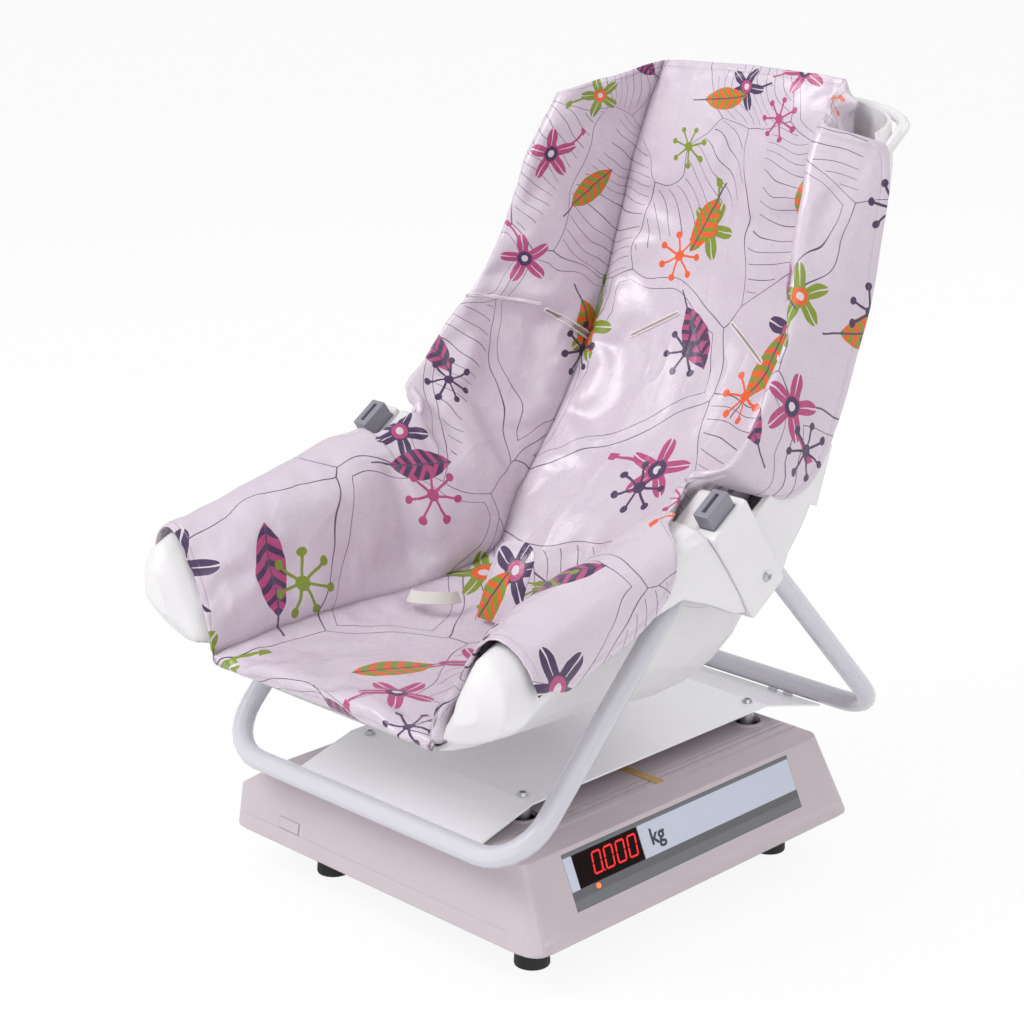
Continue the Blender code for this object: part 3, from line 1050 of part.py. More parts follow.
def cover_half(along, lift):
    """Half section of the seat cover; lift 0 gives the underside, 1 the face."""
    read = read_rows(COVER_ROWS, along)
    y = read["y"]
    thick = read["thick"]
    sink = thick * (1 - lift)
    points = []
    for share in PAD_SHARES:
        crown = COVER_PUFF * (1 - share**2) * lift
        height = read["middle"] + (read["crease_z"] - read["middle"]) * share**3
        points.append(Vector((read["crease_x"] * share, y, height + crown - sink)))
    outset = read["clear"] + COVER_WRAP_THICK * lift
    inner_y = y + read["rake"] * 0.4
    inner = arm_offset(INNER_AT, inner_y, outset + (thick - COVER_WRAP_THICK) * lift)
    start = Vector((read["crease_x"] + sink * 0.2, y, read["crease_z"] - sink))
    wall_low = Vector((read["wall"] + sink * 0.6, y + read["rake"] * 0.1,
                       read["crease_z"] + thick * 2 - sink * 0.5))
    turn = Vector((inner.x, inner_y, inner.y))
    wall = spread([start, wall_low, turn], WALL_POINTS, min(1.0, read["reach"] / WALL_SHARE))
    path = [wall[-1]]
    for share in np.linspace(0.0, 1.0, WRAP_STEPS):
        spot_y = y + read["rake"] * (0.5 + 0.5 * share)
        at = SHOULDER_AT + (read["wrap"] - SHOULDER_AT) * share
        spot = arm_offset(at, spot_y, outset)
        path.append(Vector((spot.x, spot_y, spot.y)))
    further = max(read["reach"] - WALL_SHARE, 0.02) / (1 - WALL_SHARE)
    return points + wall[:-1] + spread(path, COVER_WRAP_POINTS, further)


INNER_AT = -0.25            # inner side of the arm's section
SHOULDER_AT = -0.14
WRAP_STEPS = 9


def build_seat_cover():
    rings = []
    for along in np.linspace(0.0, 1.0, COVER_STATIONS):
        face = cover_half(along, 1.0)
        under = cover_half(along, 0.0)
        left = [Vector((-p.x, p.y, p.z)) for p in reversed(face[1:])]
        under_left = [Vector((-p.x, p.y, p.z)) for p in under[1:]]
        rings.append(left + face + list(reversed(under)) + under_left)
    from_bmesh("seat_cover", loft(rings, strips=True), VINYL, smooth=True)


# Back cover: centre panel between two creases and a bolster down each side
BACK_ROWS = {
    "middle_y": (0.0270, 0.0480, 0.0760, 0.1110, 0.1450, 0.1650, 0.1770, 0.1890, 0.2000, 0.2080, 0.2130),
    "middle_z": (0.2320, 0.2580, 0.2840, 0.3200, 0.3700, 0.4160, 0.4500, 0.4900, 0.5420, 0.5780, 0.5950),
    "crease_x": (0.0820, 0.0930, 0.1020, 0.1090, 0.1120, 0.1110, 0.1100, 0.1100, 0.1040, 0.0960, 0.0910),
    "crease_y": (0.0200, 0.0400, 0.0710, 0.1070, 0.1390, 0.1580, 0.1700, 0.1830, 0.1950, 0.2050, 0.2110),
    "crease_z": (0.2370, 0.2620, 0.2880, 0.3230, 0.3680, 0.4120, 0.4480, 0.4880, 0.5400, 0.5760, 0.5930),
    "ridge_x": (0.1280, 0.1360, 0.1660, 0.1670, 0.1650, 0.1560, 0.1480, 0.1430, 0.1340, 0.1300, 0.1260),
    "ridge_y": (-0.0240, -0.0220, -0.0130, 0.0080, 0.0320, 0.0600, 0.0750, 0.0890, 0.1080, 0.1230, 0.1310),
    "ridge_z": (0.2850, 0.3380, 0.3530, 0.3700, 0.3980, 0.4280, 0.4600, 0.4960, 0.5400, 0.5640, 0.5710),
    "edge_x": (0.1350, 0.1390, 0.1670, 0.1720, 0.1720, 0.1710, 0.1690, 0.1670, 0.1640, 0.1620, 0.1600),
    "edge_y": (-0.0180, -0.0140, -0.0010, 0.0440, 0.0860, 0.1040, 0.1180, 0.1320, 0.1440, 0.1520, 0.1560),
    "edge_z": (0.2800, 0.3350, 0.3450, 0.3570, 0.3760, 0.4120, 0.4500, 0.4940, 0.5300, 0.5460, 0.5500),
}
BACK_STATIONS = 22
BACK_PUFF = 0.0040
CREASE_DIP = 0.0030
RIDGE_ROUND = 0.0100


def back_half(along):
    read = read_rows(BACK_ROWS, along)
    middle = Vector((0.0, read["middle_y"], read["middle_z"]))
    crease = Vector((read["crease_x"], read["crease_y"], read["crease_z"]))
    ridge = Vector((read["ridge_x"], read["ridge_y"], read["ridge_z"]))
    edge = Vector((read["edge_x"], read["edge_y"], read["edge_z"]))
    lean = SHELL_LEAN
    front = Vector((0.0, -math.cos(lean), math.sin(lean)))
    points = []
    for share in PAD_SHARES:
        crown = BACK_PUFF * (1 - share**4)
        spot = middle.lerp(crease, share)
        points.append(Vector((spot.x, spot.y, spot.z)) + front * crown)
    points.append(crease - front * CREASE_DIP * (1 - along**4))
    inner = ridge - crease
    side = Vector((-1.0, -0.45, 0.2)).normalized()
    for share, puff in ((0.10, 0.5), (0.38, 1.0), (0.68, 0.9)):
        points.append(crease + inner * share + side * BACK_PUFF * puff)
    to_crease = (crease - ridge).normalized()
    to_edge = (edge - ridge).normalized()
    soft = min(RIDGE_ROUND, (edge - ridge).length * 0.35)
    corner = ridge + (to_crease + to_edge) * soft * 0.2
    points += [ridge + to_crease * soft, corner, ridge + to_edge * soft]
    out = Vector((1.0, 0.0, 0.0))
    points.append(ridge.lerp(edge, 0.55) + out * BACK_PUFF * 0.6)
    points.append(edge)
    return points


def across_at(x, along):
    # The shell parameter whose point stands at x from the middle
    edge_x = read_rows(SHELL_ROWS, along)["edge_x"]
    return math.asin(min(x / edge_x, 0.999) ** (SHELL_SQUARE / 2)) / (math.pi / 2)


def under_half(face, along):
    """Underside of the back cover, one point for each point of its face."""
    shell_along = BACK_SPAN * along
    edge_x = read_rows(SHELL_ROWS, shell_along)["edge_x"]
    crease = len(PAD_SHARES)
    places = [p.x for p in face[:crease + 1]]
    places += [face[crease].x + (edge_x * EDGE_SHARE - face[crease].x) * share for share in WING_SHARES]
    under = [shell_point(across_at(x, shell_along), shell_along, BACK_CLEAR + EDGE_CLEAR * (x / edge_x) ** 4)
             for x in places]
    under[-1] = under[-1].lerp(face[-1], 0.75)
    closing = max(along - TOP_CLOSES, 0.0) / (1 - TOP_CLOSES) * TOP_RISE
    under = [Vector((a.x, a.y, a.z + (b.z - a.z) * closing)) for a, b in zip(under, face)]
    if along >= UNDER_FREE:
        return under
    # Below the shell's lower edge the underside follows the face
    wing = pick(face[crease:crease + 5], WING_SHARES)
    free = []
    for index, spot in enumerate(face[:crease + 1] + wing):
        out = max(index - crease, 0) / len(WING_SHARES)
        square = Vector((0.75 * out, 0.9 - 0.3 * out, 0.1 * out - 0.43))
        free.append(spot + square * COVER_THICK * (1.2 - 0.3 * out))
    free[-1] = free[-1].lerp(face[-1], 0.6)
    blend = (along / UNDER_FREE) ** 2
    return [a.lerp(b, blend) for a, b in zip(free, under)]


def build_back_cover(pivot):
    offset = Vector((0.0, HINGE_Y, HINGE_Z))
    rings = []
    for along in np.linspace(0.0, 1.0, BACK_STATIONS):
        face = back_half(along)
        under = under_half(face, along)
        left = [Vector((-p.x, p.y, p.z)) for p in reversed(face[1:])]
        under_left = [Vector((-p.x, p.y, p.z)) for p in under[1:]]
        ring = left + face + list(reversed(under)) + under_left
        rings.append([p - offset for p in ring])
    from_bmesh("back_cover", loft(rings, strips=True), VINYL, pivot, smooth=True)


BACK_CLEAR = 0.0021         # between the cover's underside and the shell
EDGE_CLEAR = 0.0060         # more of it towards the shell's edge
TOP_CLOSES = 0.85           # share of the cover's length where the underside starts to rise to the face
TOP_RISE = 0.7
BACK_SPAN = 0.97            # share of the shell's length that the cover lies on
EDGE_SHARE = 0.985
UNDER_FREE = 0.22
WING_SHARES = (0.12, 0.30, 0.48, 0.64, 0.78, 0.88, 0.95, 1.0)


def pick(points, shares):
    path = spread(points, 101)
    return [path[int(round(share * 100))] for share in shares]


# Crotch pad, strap loop and the sticker on the housing's front end
CROTCH_WIDTH = 0.042
CROTCH_THICK = 0.012
CROTCH_HEIGHT = 0.056
CROTCH_Y = -0.062
CROTCH_LEAN = math.radians(5)
PAD_SETTLES = 0.0018        # below the cover's face between its stations
STRAP_WIDTH = 0.010
STRAP_THICK = 0.0016
STRAP_SPAN = 0.044
STRAP_RISE = 0.012
STRAP_PLACE = (-0.062, -0.078)
STRAP_TURN = math.radians(35)
STICKER_LENGTH = 0.022
STICKER_HEIGHT = 0.009
STICKER_THICK = 0.0003
STICKER_X = -0.101
STICKER_UP = 0.017


def cover_height(x, y):
    # Height of the seat cover's face at one place of its pad
    places = np.linspace(0.0, 1.0, len(COVER_ROWS["y"]))
    face = cover_half(float(np.interp(y, COVER_ROWS["y"], places)), 1.0)
    return float(np.interp(abs(x), [p.x for p in face[:len(PAD_SHARES)]], [p.z for p in face[:len(PAD_SHARES)]]))


def build_small_parts():
    ground = max(cover_height(CROTCH_WIDTH / 2, CROTCH_Y - CROTCH_THICK),
                 cover_height(CROTCH_WIDTH / 2, CROTCH_Y + CROTCH_THICK), cover_height(0.0, CROTCH_Y + CROTCH_THICK))
    pad = box("crotch_pad", (CROTCH_WIDTH, CROTCH_THICK, CROTCH_HEIGHT),
              (0.0, CROTCH_Y, ground - PAD_SETTLES + CROTCH_HEIGHT / 2), VINYL)
    pad.rotation_euler = (-CROTCH_LEAN, 0.0, 0.0)
    round_edges(pad, CROTCH_THICK * 0.42, 3)
    arch = []
    for angle in np.linspace(0.0, math.pi, 11):
        arch.append((STRAP_SPAN / 2 * math.cos(angle), STRAP_RISE * math.sin(angle)))
    inner = [(y * (1 - 2 * STRAP_THICK / STRAP_SPAN), z * (1 - STRAP_THICK / STRAP_RISE)) for y, z in arch]
    strap = plate_from_outline("strap_loop", arch + list(reversed(inner)), STRAP_WIDTH, WEBBING)
    across = Vector((-math.sin(STRAP_TURN), math.cos(STRAP_TURN))) * STRAP_SPAN / 2
    base = max(cover_height(STRAP_PLACE[0] + across.x, STRAP_PLACE[1] + across.y),
               cover_height(STRAP_PLACE[0] - across.x, STRAP_PLACE[1] - across.y))
    strap.location = (*STRAP_PLACE, base - PAD_SETTLES * 0.8)
    strap.rotation_euler = (strap.rotation_euler.x, strap.rotation_euler.y, STRAP_TURN)
    draft = math.atan2(END_DRAFT, DECK_HEIGHT - BASE_BOTTOM)
    face_y = BASE_FRONT + STICKER_UP * math.tan(draft)
    sticker = box("front_sticker", (STICKER_LENGTH, STICKER_THICK, STICKER_HEIGHT),
                  (STICKER_X, face_y - GAP - STICKER_THICK / 2, BASE_BOTTOM + STICKER_UP), WHITE_PLASTIC)
    sticker.rotation_euler = (-draft, 0.0, 0.0)


build_housing()
build_power_side()
build_base()
build_tray()
build_legs()
for hinge_side in (-1, 1):
    build_hinge(hinge_side)
build_seat_shell()
build_seat_cover()
backrest = build_backrest()
build_back_cover(backrest)
build_small_parts()
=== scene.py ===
import math
import bpy
import bmesh
import numpy as np
from mathutils import Matrix, Vector, noise
from mathutils.bvhtree import BVHTree


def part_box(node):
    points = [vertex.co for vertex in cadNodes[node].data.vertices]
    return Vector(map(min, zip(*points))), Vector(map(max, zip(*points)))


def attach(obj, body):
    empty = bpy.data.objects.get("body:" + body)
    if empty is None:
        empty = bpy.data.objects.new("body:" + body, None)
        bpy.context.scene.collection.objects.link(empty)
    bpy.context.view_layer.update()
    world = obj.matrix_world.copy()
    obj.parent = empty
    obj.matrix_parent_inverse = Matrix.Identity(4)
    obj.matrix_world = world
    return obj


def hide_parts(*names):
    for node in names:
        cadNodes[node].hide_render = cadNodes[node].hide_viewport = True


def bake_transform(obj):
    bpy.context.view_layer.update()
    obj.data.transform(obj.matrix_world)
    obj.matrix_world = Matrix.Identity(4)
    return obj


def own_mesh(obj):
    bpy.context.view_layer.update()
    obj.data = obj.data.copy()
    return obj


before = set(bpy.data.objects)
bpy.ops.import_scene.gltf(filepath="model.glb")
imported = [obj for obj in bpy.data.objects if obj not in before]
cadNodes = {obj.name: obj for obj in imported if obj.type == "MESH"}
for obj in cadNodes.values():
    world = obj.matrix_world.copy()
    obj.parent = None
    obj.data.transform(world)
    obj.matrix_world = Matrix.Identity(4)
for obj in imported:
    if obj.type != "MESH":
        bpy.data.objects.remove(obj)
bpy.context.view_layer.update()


def newObject(name, data):
    item = bpy.data.objects.new(name, data)
    bpy.context.scene.collection.objects.link(item)
    return item


# camera as in the photograph
cameraLook = {
    "position": (1.1847, -1.2436, 0.8117),
    "looksAlong": (-0.6718, 0.6794, -0.2951),
    "lens": 83.9,
    "sensor": 36.0,
    "farEnd": 50.0,
}
lens = bpy.data.cameras.new("camera")
lens.lens = cameraLook["lens"]
lens.sensor_width = cameraLook["sensor"]
lens.clip_end = cameraLook["farEnd"]
camera = newObject("camera", lens)
camera.location = cameraLook["position"]
camera.rotation_euler = Vector(cameraLook["looksAlong"]).to_track_quat("-Z", "Y").to_euler()
bpy.context.scene.camera = camera


# small tools for node trees: a new node goes into the tree of the node or socket it is made beside
def feed(socket, value):
    if isinstance(value, bpy.types.NodeSocket):
        socket.id_data.links.new(value, socket)
    else:
        socket.default_value = value


def addNode(beside, kind, settings=None, sockets=None):
    node = beside.id_data.nodes.new(kind)
    for key, value in (settings or {}).items():
        setattr(node, key, value)
    for key, value in (sockets or {}).items():
        feed(node.inputs[key], value)
    return node


def firstSocket(values):
    return next(value for value in values if isinstance(value, bpy.types.NodeSocket))


def calc(operation, *values):
    settings = {"operation": operation}
    return addNode(firstSocket(values), "ShaderNodeMath", settings, dict(enumerate(values))).outputs[0]


def plus(first, second):
    return calc("ADD", first, second)


def minus(first, second):
    return calc("SUBTRACT", first, second)


def times(first, second):
    return calc("MULTIPLY", first, second)


def magnitude(value):
    return calc("ABSOLUTE", value)


def below(value, limit):
    return calc("LESS_THAN", value, limit)


def above(value, limit):
    return calc("GREATER_THAN", value, limit)


def both(*masks):
    joined = masks[0]
    for mask in masks[1:]:
        joined = times(joined, mask)
    return joined


def either(*masks):
    joined = masks[0]
    for mask in masks[1:]:
        joined = calc("MAXIMUM", joined, mask)
    return joined


def mixColour(factor, first, second, blend="MIX"):
    first, second = ((*colour, 1.0) if isinstance(colour, tuple) else colour for colour in (first, second))
    node = addNode(firstSocket((factor, first, second)), "ShaderNodeMix",
                   {"data_type": "RGBA", "blend_type": blend}, {0: factor, 6: first, 7: second})
    return node.outputs[2]


def spread(value, low, high, outLow, outHigh):
    return addNode(value, "ShaderNodeMapRange", {"clamp": True},
                   {0: value, 1: low, 2: high, 3: outLow, 4: outHigh}).outputs[0]


def vectorCalc(operation, first, second):
    return addNode(first, "ShaderNodeVectorMath", {"operation": operation}, {0: first, 1: second}).outputs[0]


def scaled(vector, amount):
    return addNode(vector, "ShaderNodeVectorMath", {"operation": "SCALE"}, {0: vector, "Scale": amount}).outputs[0]


def parts(vector):
    return addNode(vector, "ShaderNodeSeparateXYZ", None, {0: vector}).outputs


def grain(where, size, detail=3.0, rough=0.55):
    # noise whose features are about size metres across
    return addNode(where, "ShaderNodeTexNoise", None,
                   {"Vector": where, "Scale": 1.0 / size, "Detail": detail, "Roughness": rough}).outputs["Fac"]


def bumpUp(shader, height, depth, strength=1.0, after=None):
    node = addNode(shader, "ShaderNodeBump", None, {"Height": height, "Distance": depth, "Strength": strength})
    if after is not None:
        feed(node.inputs["Normal"], after)
    feed(shader.inputs["Normal"], node.outputs[0])
    return node.outputs[0]


made = {}
noiseSpan = (0.3, 0.7)    # most of a noise's values lie between these


def startMaterial(name):
    # its shader, and the place on the object
    material = bpy.data.materials.new(name)
    material.use_nodes = True
    made[name] = material
    shader = material.node_tree.nodes["Principled BSDF"]
    return shader, addNode(shader, "ShaderNodeTexCoord").outputs["Object"]


# moulded, painted and metal finishes: colour, how rough, grain size and depth, and how much the colour wanders
finishes = {
    "housingPlastic": {"colour": (0.530, 0.462, 0.500), "rough": (0.36, 0.48), "grain": 0.0009, "depth": 0.00006,
                       "wander": 0.05},
    "whitePlastic": {"colour": (0.735, 0.720, 0.735), "rough": (0.34, 0.42), "grain": 0.0011, "depth": 0.00002,
                     "wander": 0.025},
    "whitePaint": {"colour": (0.585, 0.572, 0.630), "rough": (0.16, 0.26), "grain": 0.0028, "depth": 0.00006,
                   "wander": 0.02, "coat": 0.35, "coatRough": 0.08},
    # the tray's copy of the tubes' white paint, made lighter to offset the seat's shadow on it: painted light
    "trayPaintLitCopy": {"colour": (0.900, 0.890, 0.925), "rough": (0.16, 0.26), "grain": 0.0028, "depth": 0.00006,
                  "wander": 0.02},
    "buttonPlastic": {"colour": (0.235, 0.228, 0.275), "rough": (0.30, 0.42), "grain": 0.0007, "depth": 0.00005,
                      "wander": 0.08},
    "greyPlastic": {"colour": (0.160, 0.172, 0.190), "rough": (0.34, 0.48), "grain": 0.0007, "depth": 0.00005,
                    "wander": 0.10},
    "blackRubber": {"colour": (0.012, 0.012, 0.013), "rough": (0.55, 0.80), "grain": 0.0008, "depth": 0.00010,
                    "wander": 0.35},
    "zincSteel": {"colour": (0.560, 0.560, 0.570), "rough": (0.22, 0.38), "grain": 0.0012, "depth": 0.00002,
                  "wander": 0.12, "metal": 1.0},
    "castAluminium": {"colour": (0.640, 0.650, 0.670), "rough": (0.30, 0.45), "grain": 0.0010, "depth": 0.00003,
                      "wander": 0.08, "metal": 1.0},
    "batteryWrap": {"colour": (0.030, 0.040, 0.075), "rough": (0.30, 0.42), "grain": 0.0040, "depth": 0.00010,
                    "wander": 0.15},
}
clouding = {"size": 0.045, "share": 0.65}    # wide marks in the colour and the shine

# pieces whose small flats are blended into round forms, over what distance, and more of it at the arms' front ends
roundOver = {"whitePlastic": 0.0022, "whitePaint": 0.0050, "housingPlastic": 0.0012}
armRound = {"radius": 0.0085, "from": -0.150, "to": -0.175}


def plainFinish(name):
    look = finishes[name]
    shader, place = startMaterial(name)
    fine = grain(place, look["grain"], detail=4.0)
    wide = grain(place, clouding["size"], detail=2.0)
    low, high = (tuple(min(c * (1.0 + wander), 1.0) for c in look["colour"])
                 for wander in (-look["wander"], look["wander"]))
    feed(shader.inputs["Base Color"], mixColour(wide, low, high))
    marks = plus(times(fine, 1.0 - clouding["share"]), times(wide, clouding["share"]))
    feed(shader.inputs["Roughness"], spread(marks, *noiseSpan, *look["rough"]))
    feed(shader.inputs["Metallic"], look.get("metal", 0.0))
    if "coat" in look:
        feed(shader.inputs["Coat Weight"], look["coat"])
        feed(shader.inputs["Coat Roughness"], look["coatRough"])
    rounded = None
    if name in roundOver:
        bevel = addNode(shader, "ShaderNodeBevel", {"samples": 8}, {"Radius": roundOver[name]})
        rounded = bevel.outputs[0]
        if name == "whitePlastic":
            feed(bevel.inputs["Radius"], spread(parts(place)[1], armRound["to"], armRound["from"],
                                                armRound["radius"], roundOver[name]))
    bumpUp(shader, fine, look["depth"], after=rounded)


for name in finishes:
    plainFinish(name)
print("plain finishes made")

# circuit board: solder resist with a pattern of traces and pads
board = {
    "traceScale": 260.0, "traceWidth": 0.05, "traceDepth": 0.00004,
    "padScale": 190.0, "padSize": 0.18,
    "resist": (0.015, 0.110, 0.045), "trace": (0.030, 0.200, 0.085), "pad": (0.55, 0.52, 0.45),
    "grain": 0.002, "rough": (0.30, 0.50),
}


def circuitFinish():
    shader, place = startMaterial("circuitBoard")
    cells = addNode(place, "ShaderNodeTexVoronoi", {"feature": "DISTANCE_TO_EDGE"},
                    {"Vector": place, "Scale": board["traceScale"]})
    dots = addNode(place, "ShaderNodeTexVoronoi", None, {"Vector": place, "Scale": board["padScale"]})
    trace = below(cells.outputs["Distance"], board["traceWidth"])
    pad = below(dots.outputs["Distance"], board["padSize"])
    colour = mixColour(trace, board["resist"], board["trace"])
    feed(shader.inputs["Base Color"], mixColour(pad, colour, board["pad"]))
    feed(shader.inputs["Roughness"], spread(grain(place, board["grain"]), *noiseSpan, *board["rough"]))
    bumpUp(shader, trace, board["traceDepth"])


circuitFinish()

# display panel film: bands across its height, in the panel's own plane
panel = {
    "middle": (0.14635, -0.0104, 0.0708),
    "tilt": math.radians(24.2),
    "topBandFrom": 0.0177,
    "lowBandFrom": -0.0068,
    "lowestFrom": -0.0130,
    "light": (0.560, 0.590, 0.700),
    "darkTop": (0.150, 0.155, 0.175),
    "darkLow": (0.120, 0.122, 0.132),
    "lowest": (0.165, 0.168, 0.182),
    "speck": 0.0006,
    "speckShare": 0.12,
    "speckShade": (0.9, 0.9, 0.95),
    "speckDepth": 0.00001,
    "sheenSize": 0.02,
    "rough": (0.34, 0.44),
}
panelPlane = Matrix.Translation(panel["middle"]) @ Matrix.Rotation(-panel["tilt"], 4, "Y")


def panelFinish():
    shader, place = startMaterial("panelFilm")
    x, y, z = parts(place)
    height = plus(times(minus(x, panel["middle"][0]), -math.sin(panel["tilt"])),
                  times(minus(z, panel["middle"][2]), math.cos(panel["tilt"])))
    colour = mixColour(above(height, panel["topBandFrom"]), panel["light"], panel["darkTop"])
    colour = mixColour(below(height, panel["lowBandFrom"]), colour, panel["darkLow"])
    colour = mixColour(below(height, panel["lowestFrom"]), colour, panel["lowest"])
    speck = grain(place, panel["speck"], detail=4.0)
    colour = mixColour(times(speck, panel["speckShare"]), colour, panel["speckShade"], "MULTIPLY")
    feed(shader.inputs["Base Color"], colour)
    feed(shader.inputs["Roughness"], spread(grain(place, panel["sheenSize"]), *noiseSpan, *panel["rough"]))
    bumpUp(shader, speck, panel["speckDepth"])


panelFinish()

# smoked window, digits, lamp and tape, the unit's ink, the painted shade in the cover's slots and pocket mouths,
# and the welded lips round them
glossy = {
    "smokedWindow": {"colour": (0.006, 0.001, 0.001), "rough": 0.14, "specular": 0.12},
    "litDigit": {"colour": (0.50, 0.01, 0.01), "rough": 0.30, "glow": (1.0, 0.016, 0.012), "strength": 0.62},
    "dimDigit": {"colour": (0.10, 0.008, 0.008), "rough": 0.30},
    "lampLens": {"colour": (0.85, 0.12, 0.03), "rough": 0.18, "glow": (1.0, 0.22, 0.04), "strength": 0.9,
                 "coat": 0.6},
    "amberTape": {"colour": (0.50, 0.33, 0.12), "rough": 0.20, "coat": 0.4},
    "darkInk": {"colour": (0.035, 0.038, 0.060), "rough": 0.45},
    # dark colours for the slots and pocket mouths are painted shade of the openings
    "slotPaintedShade": {"colour": (0.30, 0.25, 0.22), "rough": 0.60},
    "weldedLip": {"colour": (0.66, 0.60, 0.64), "rough": 0.35},
    "pocketLining": {"colour": (0.26, 0.20, 0.16), "rough": 0.65},
}
smear = {"size": 0.008, "lighter": 1.25, "lift": 0.002, "smoothest": 0.7, "roughest": 1.4, "fine": 0.0015,
         "depth": 0.00001}


def glossFinish(name):
    look = glossy[name]
    shader, place = startMaterial(name)
    smears = grain(place, smear["size"])
    lighter = tuple(min(c * smear["lighter"] + smear["lift"], 1.0) for c in look["colour"])
    feed(shader.inputs["Base Color"], mixColour(smears, look["colour"], lighter))
    feed(shader.inputs["Roughness"], spread(smears, *noiseSpan, look["rough"] * smear["smoothest"],
                                            look["rough"] * smear["roughest"]))
    feed(shader.inputs["Coat Weight"], look.get("coat", 0.0))
    if "specular" in look:
        feed(shader.inputs["Specular IOR Level"], look["specular"])
    if "glow" in look:
        feed(shader.inputs["Emission Color"], (*look["glow"], 1.0))
        feed(shader.inputs["Emission Strength"], look["strength"])
    bumpUp(shader, grain(place, smear["fine"]), smear["depth"])


for name in glossy:
    glossFinish(name)
print("board, panel and window finishes made")

# the cover's print, drawn from the print map: its inks, then its pebble outlines and three scattered motifs
inks = {
    "ground": (0.640, 0.565, 0.630),
    "groundShade": (0.575, 0.485, 0.580),
    "line": (0.095, 0.060, 0.125),
    "orange": (0.760, 0.105, 0.020),
    "olive": (0.200, 0.270, 0.022),
    "plum": (0.420, 0.060, 0.185),
    "aubergine": (0.060, 0.030, 0.090),
}
pebbles = {
    "pitch": 0.112, "scatter": 0.9, "offset": (0.31, 0.17, 0.0), "bendSize": 0.07, "bend": 0.045,
    "line": 0.00050, "edgeLine": 0.75,
    "stripedAbove": 0.62, "stripeLine": 0.6, "stripeGap": 0.0055, "stripeCurve": 4.0, "stripeEnd": 0.018,
    "stripeFrom": 0.03,
    "ringedBelow": 0.30, "ringLine": 0.55, "ringFrom": 0.085,
}
flower = {
    "pitch": 0.074, "offset": (0.0, 0.0, 0.0), "shownAbove": 0.28,
    "petals": 5, "petalMiddle": 0.0125, "petalDepth": 0.0062,
    "veinHalf": 0.07, "veinFrom": 0.006, "heart": 0.0052, "eye": 0.0024,
    "stemBend": 9.0, "stemHalf": 0.0009, "stemFrom": 0.012, "stemEnd": 0.029,
    "beadAlong": 0.0026, "beadAcross": 0.0024,
}
leaf = {
    "pitch": 0.083, "offset": (2.13, 1.37, 0.0), "shownAbove": 0.22,
    "halfLong": 0.0200, "halfWide": 0.0088, "stripeLean": 0.6, "stripeGap": 0.0034, "stripeFrom": 0.0019,
    "ribHalf": 0.0005, "ribEnd": 0.0190, "stalkEnd": -0.031,
}
seedHead = {
    "pitch": 0.071, "offset": (5.41, 3.77, 0.0), "shownAbove": 0.30,
    "rays": 7, "rayHalf": 0.0007, "reach": 0.0135, "bead": 0.0021, "heart": 0.0034,
}
motifScatter = 0.55
evenChance = 0.5


def turned(x, y, angle):
    c, s = calc("COSINE", angle), calc("SINE", angle)
    return plus(times(x, c), times(y, s)), minus(times(y, c), times(x, s))


def cellPlace(where, pitch, scatter, offset):
    # the place inside its cell, turned by chance, the cell's random numbers, and the place moved by the offset
    moved = vectorCalc("ADD", where, offset)
    cells = addNode(where, "ShaderNodeTexVoronoi", {"voronoi_dimensions": "2D"},
                    {"Vector": moved, "Scale": 1.0 / pitch, "Randomness": scatter})
    x, y = parts(vectorCalc("SUBTRACT", moved, cells.outputs["Position"]))[:2]
    chance = addNode(where, "ShaderNodeSeparateColor", None, {0: cells.outputs["Color"]}).outputs
    x, y = turned(x, y, times(chance[0], math.tau))
    return x, y, chance, moved


def wavy(where, size, amount):
    bend = addNode(where, "ShaderNodeTexNoise", None, {"Vector": where, "Scale": 1.0 / size, "Detail": 1.0})
    centred = vectorCalc("SUBTRACT", bend.outputs["Color"], (0.5, 0.5, 0.5))
    return vectorCalc("ADD", where, scaled(centred, amount))


def outlineMask(where):
    pitch, line = pebbles["pitch"], pebbles["line"]
    bent = wavy(where, pebbles["bendSize"], pebbles["bend"])
    x, y, chance, moved = cellPlace(bent, pitch, pebbles["scatter"], pebbles["offset"])
    border = addNode(where, "ShaderNodeTexVoronoi", {"voronoi_dimensions": "2D", "feature": "DISTANCE_TO_EDGE"},
                     {"Vector": moved, "Scale": 1.0 / pitch, "Randomness": pebbles["scatter"]}).outputs["Distance"]
    edge = below(border, line / pitch * pebbles["edgeLine"])
    # part of the pebbles carry curved stripes, and part one inner outline
    curve = plus(y, times(times(x, x), pebbles["stripeCurve"]))
    stripe = calc("PINGPONG", curve, pebbles["stripeGap"])
    striped = both(below(stripe, line * pebbles["stripeLine"]), above(chance[1], pebbles["stripedAbove"]),
                   below(x, pebbles["stripeEnd"]), above(border, pebbles["stripeFrom"]))
    inner = magnitude(minus(border, pebbles["ringFrom"]))
    ringed = both(below(inner, line / pitch * pebbles["ringLine"]), below(chance[1], pebbles["ringedBelow"]))
    return either(edge, striped, ringed)


def motifPlace(where, look):
    # the place inside a motif, where it is shown, and its two inks
    x, y, chance = cellPlace(where, look["pitch"], motifScatter, look["offset"])[:3]
    cool, swap = above(chance[1], evenChance), above(chance[2], evenChance)
    first = mixColour(cool, inks["orange"], inks["plum"])
    second = mixColour(cool, inks["olive"], inks["aubergine"])
    shown = above(chance[1], look["shownAbove"])
    return x, y, shown, mixColour(swap, first, second), mixColour(swap, second, first)


def fromMiddle(x, y):
    return calc("SQRT", plus(times(x, x), times(y, y)))


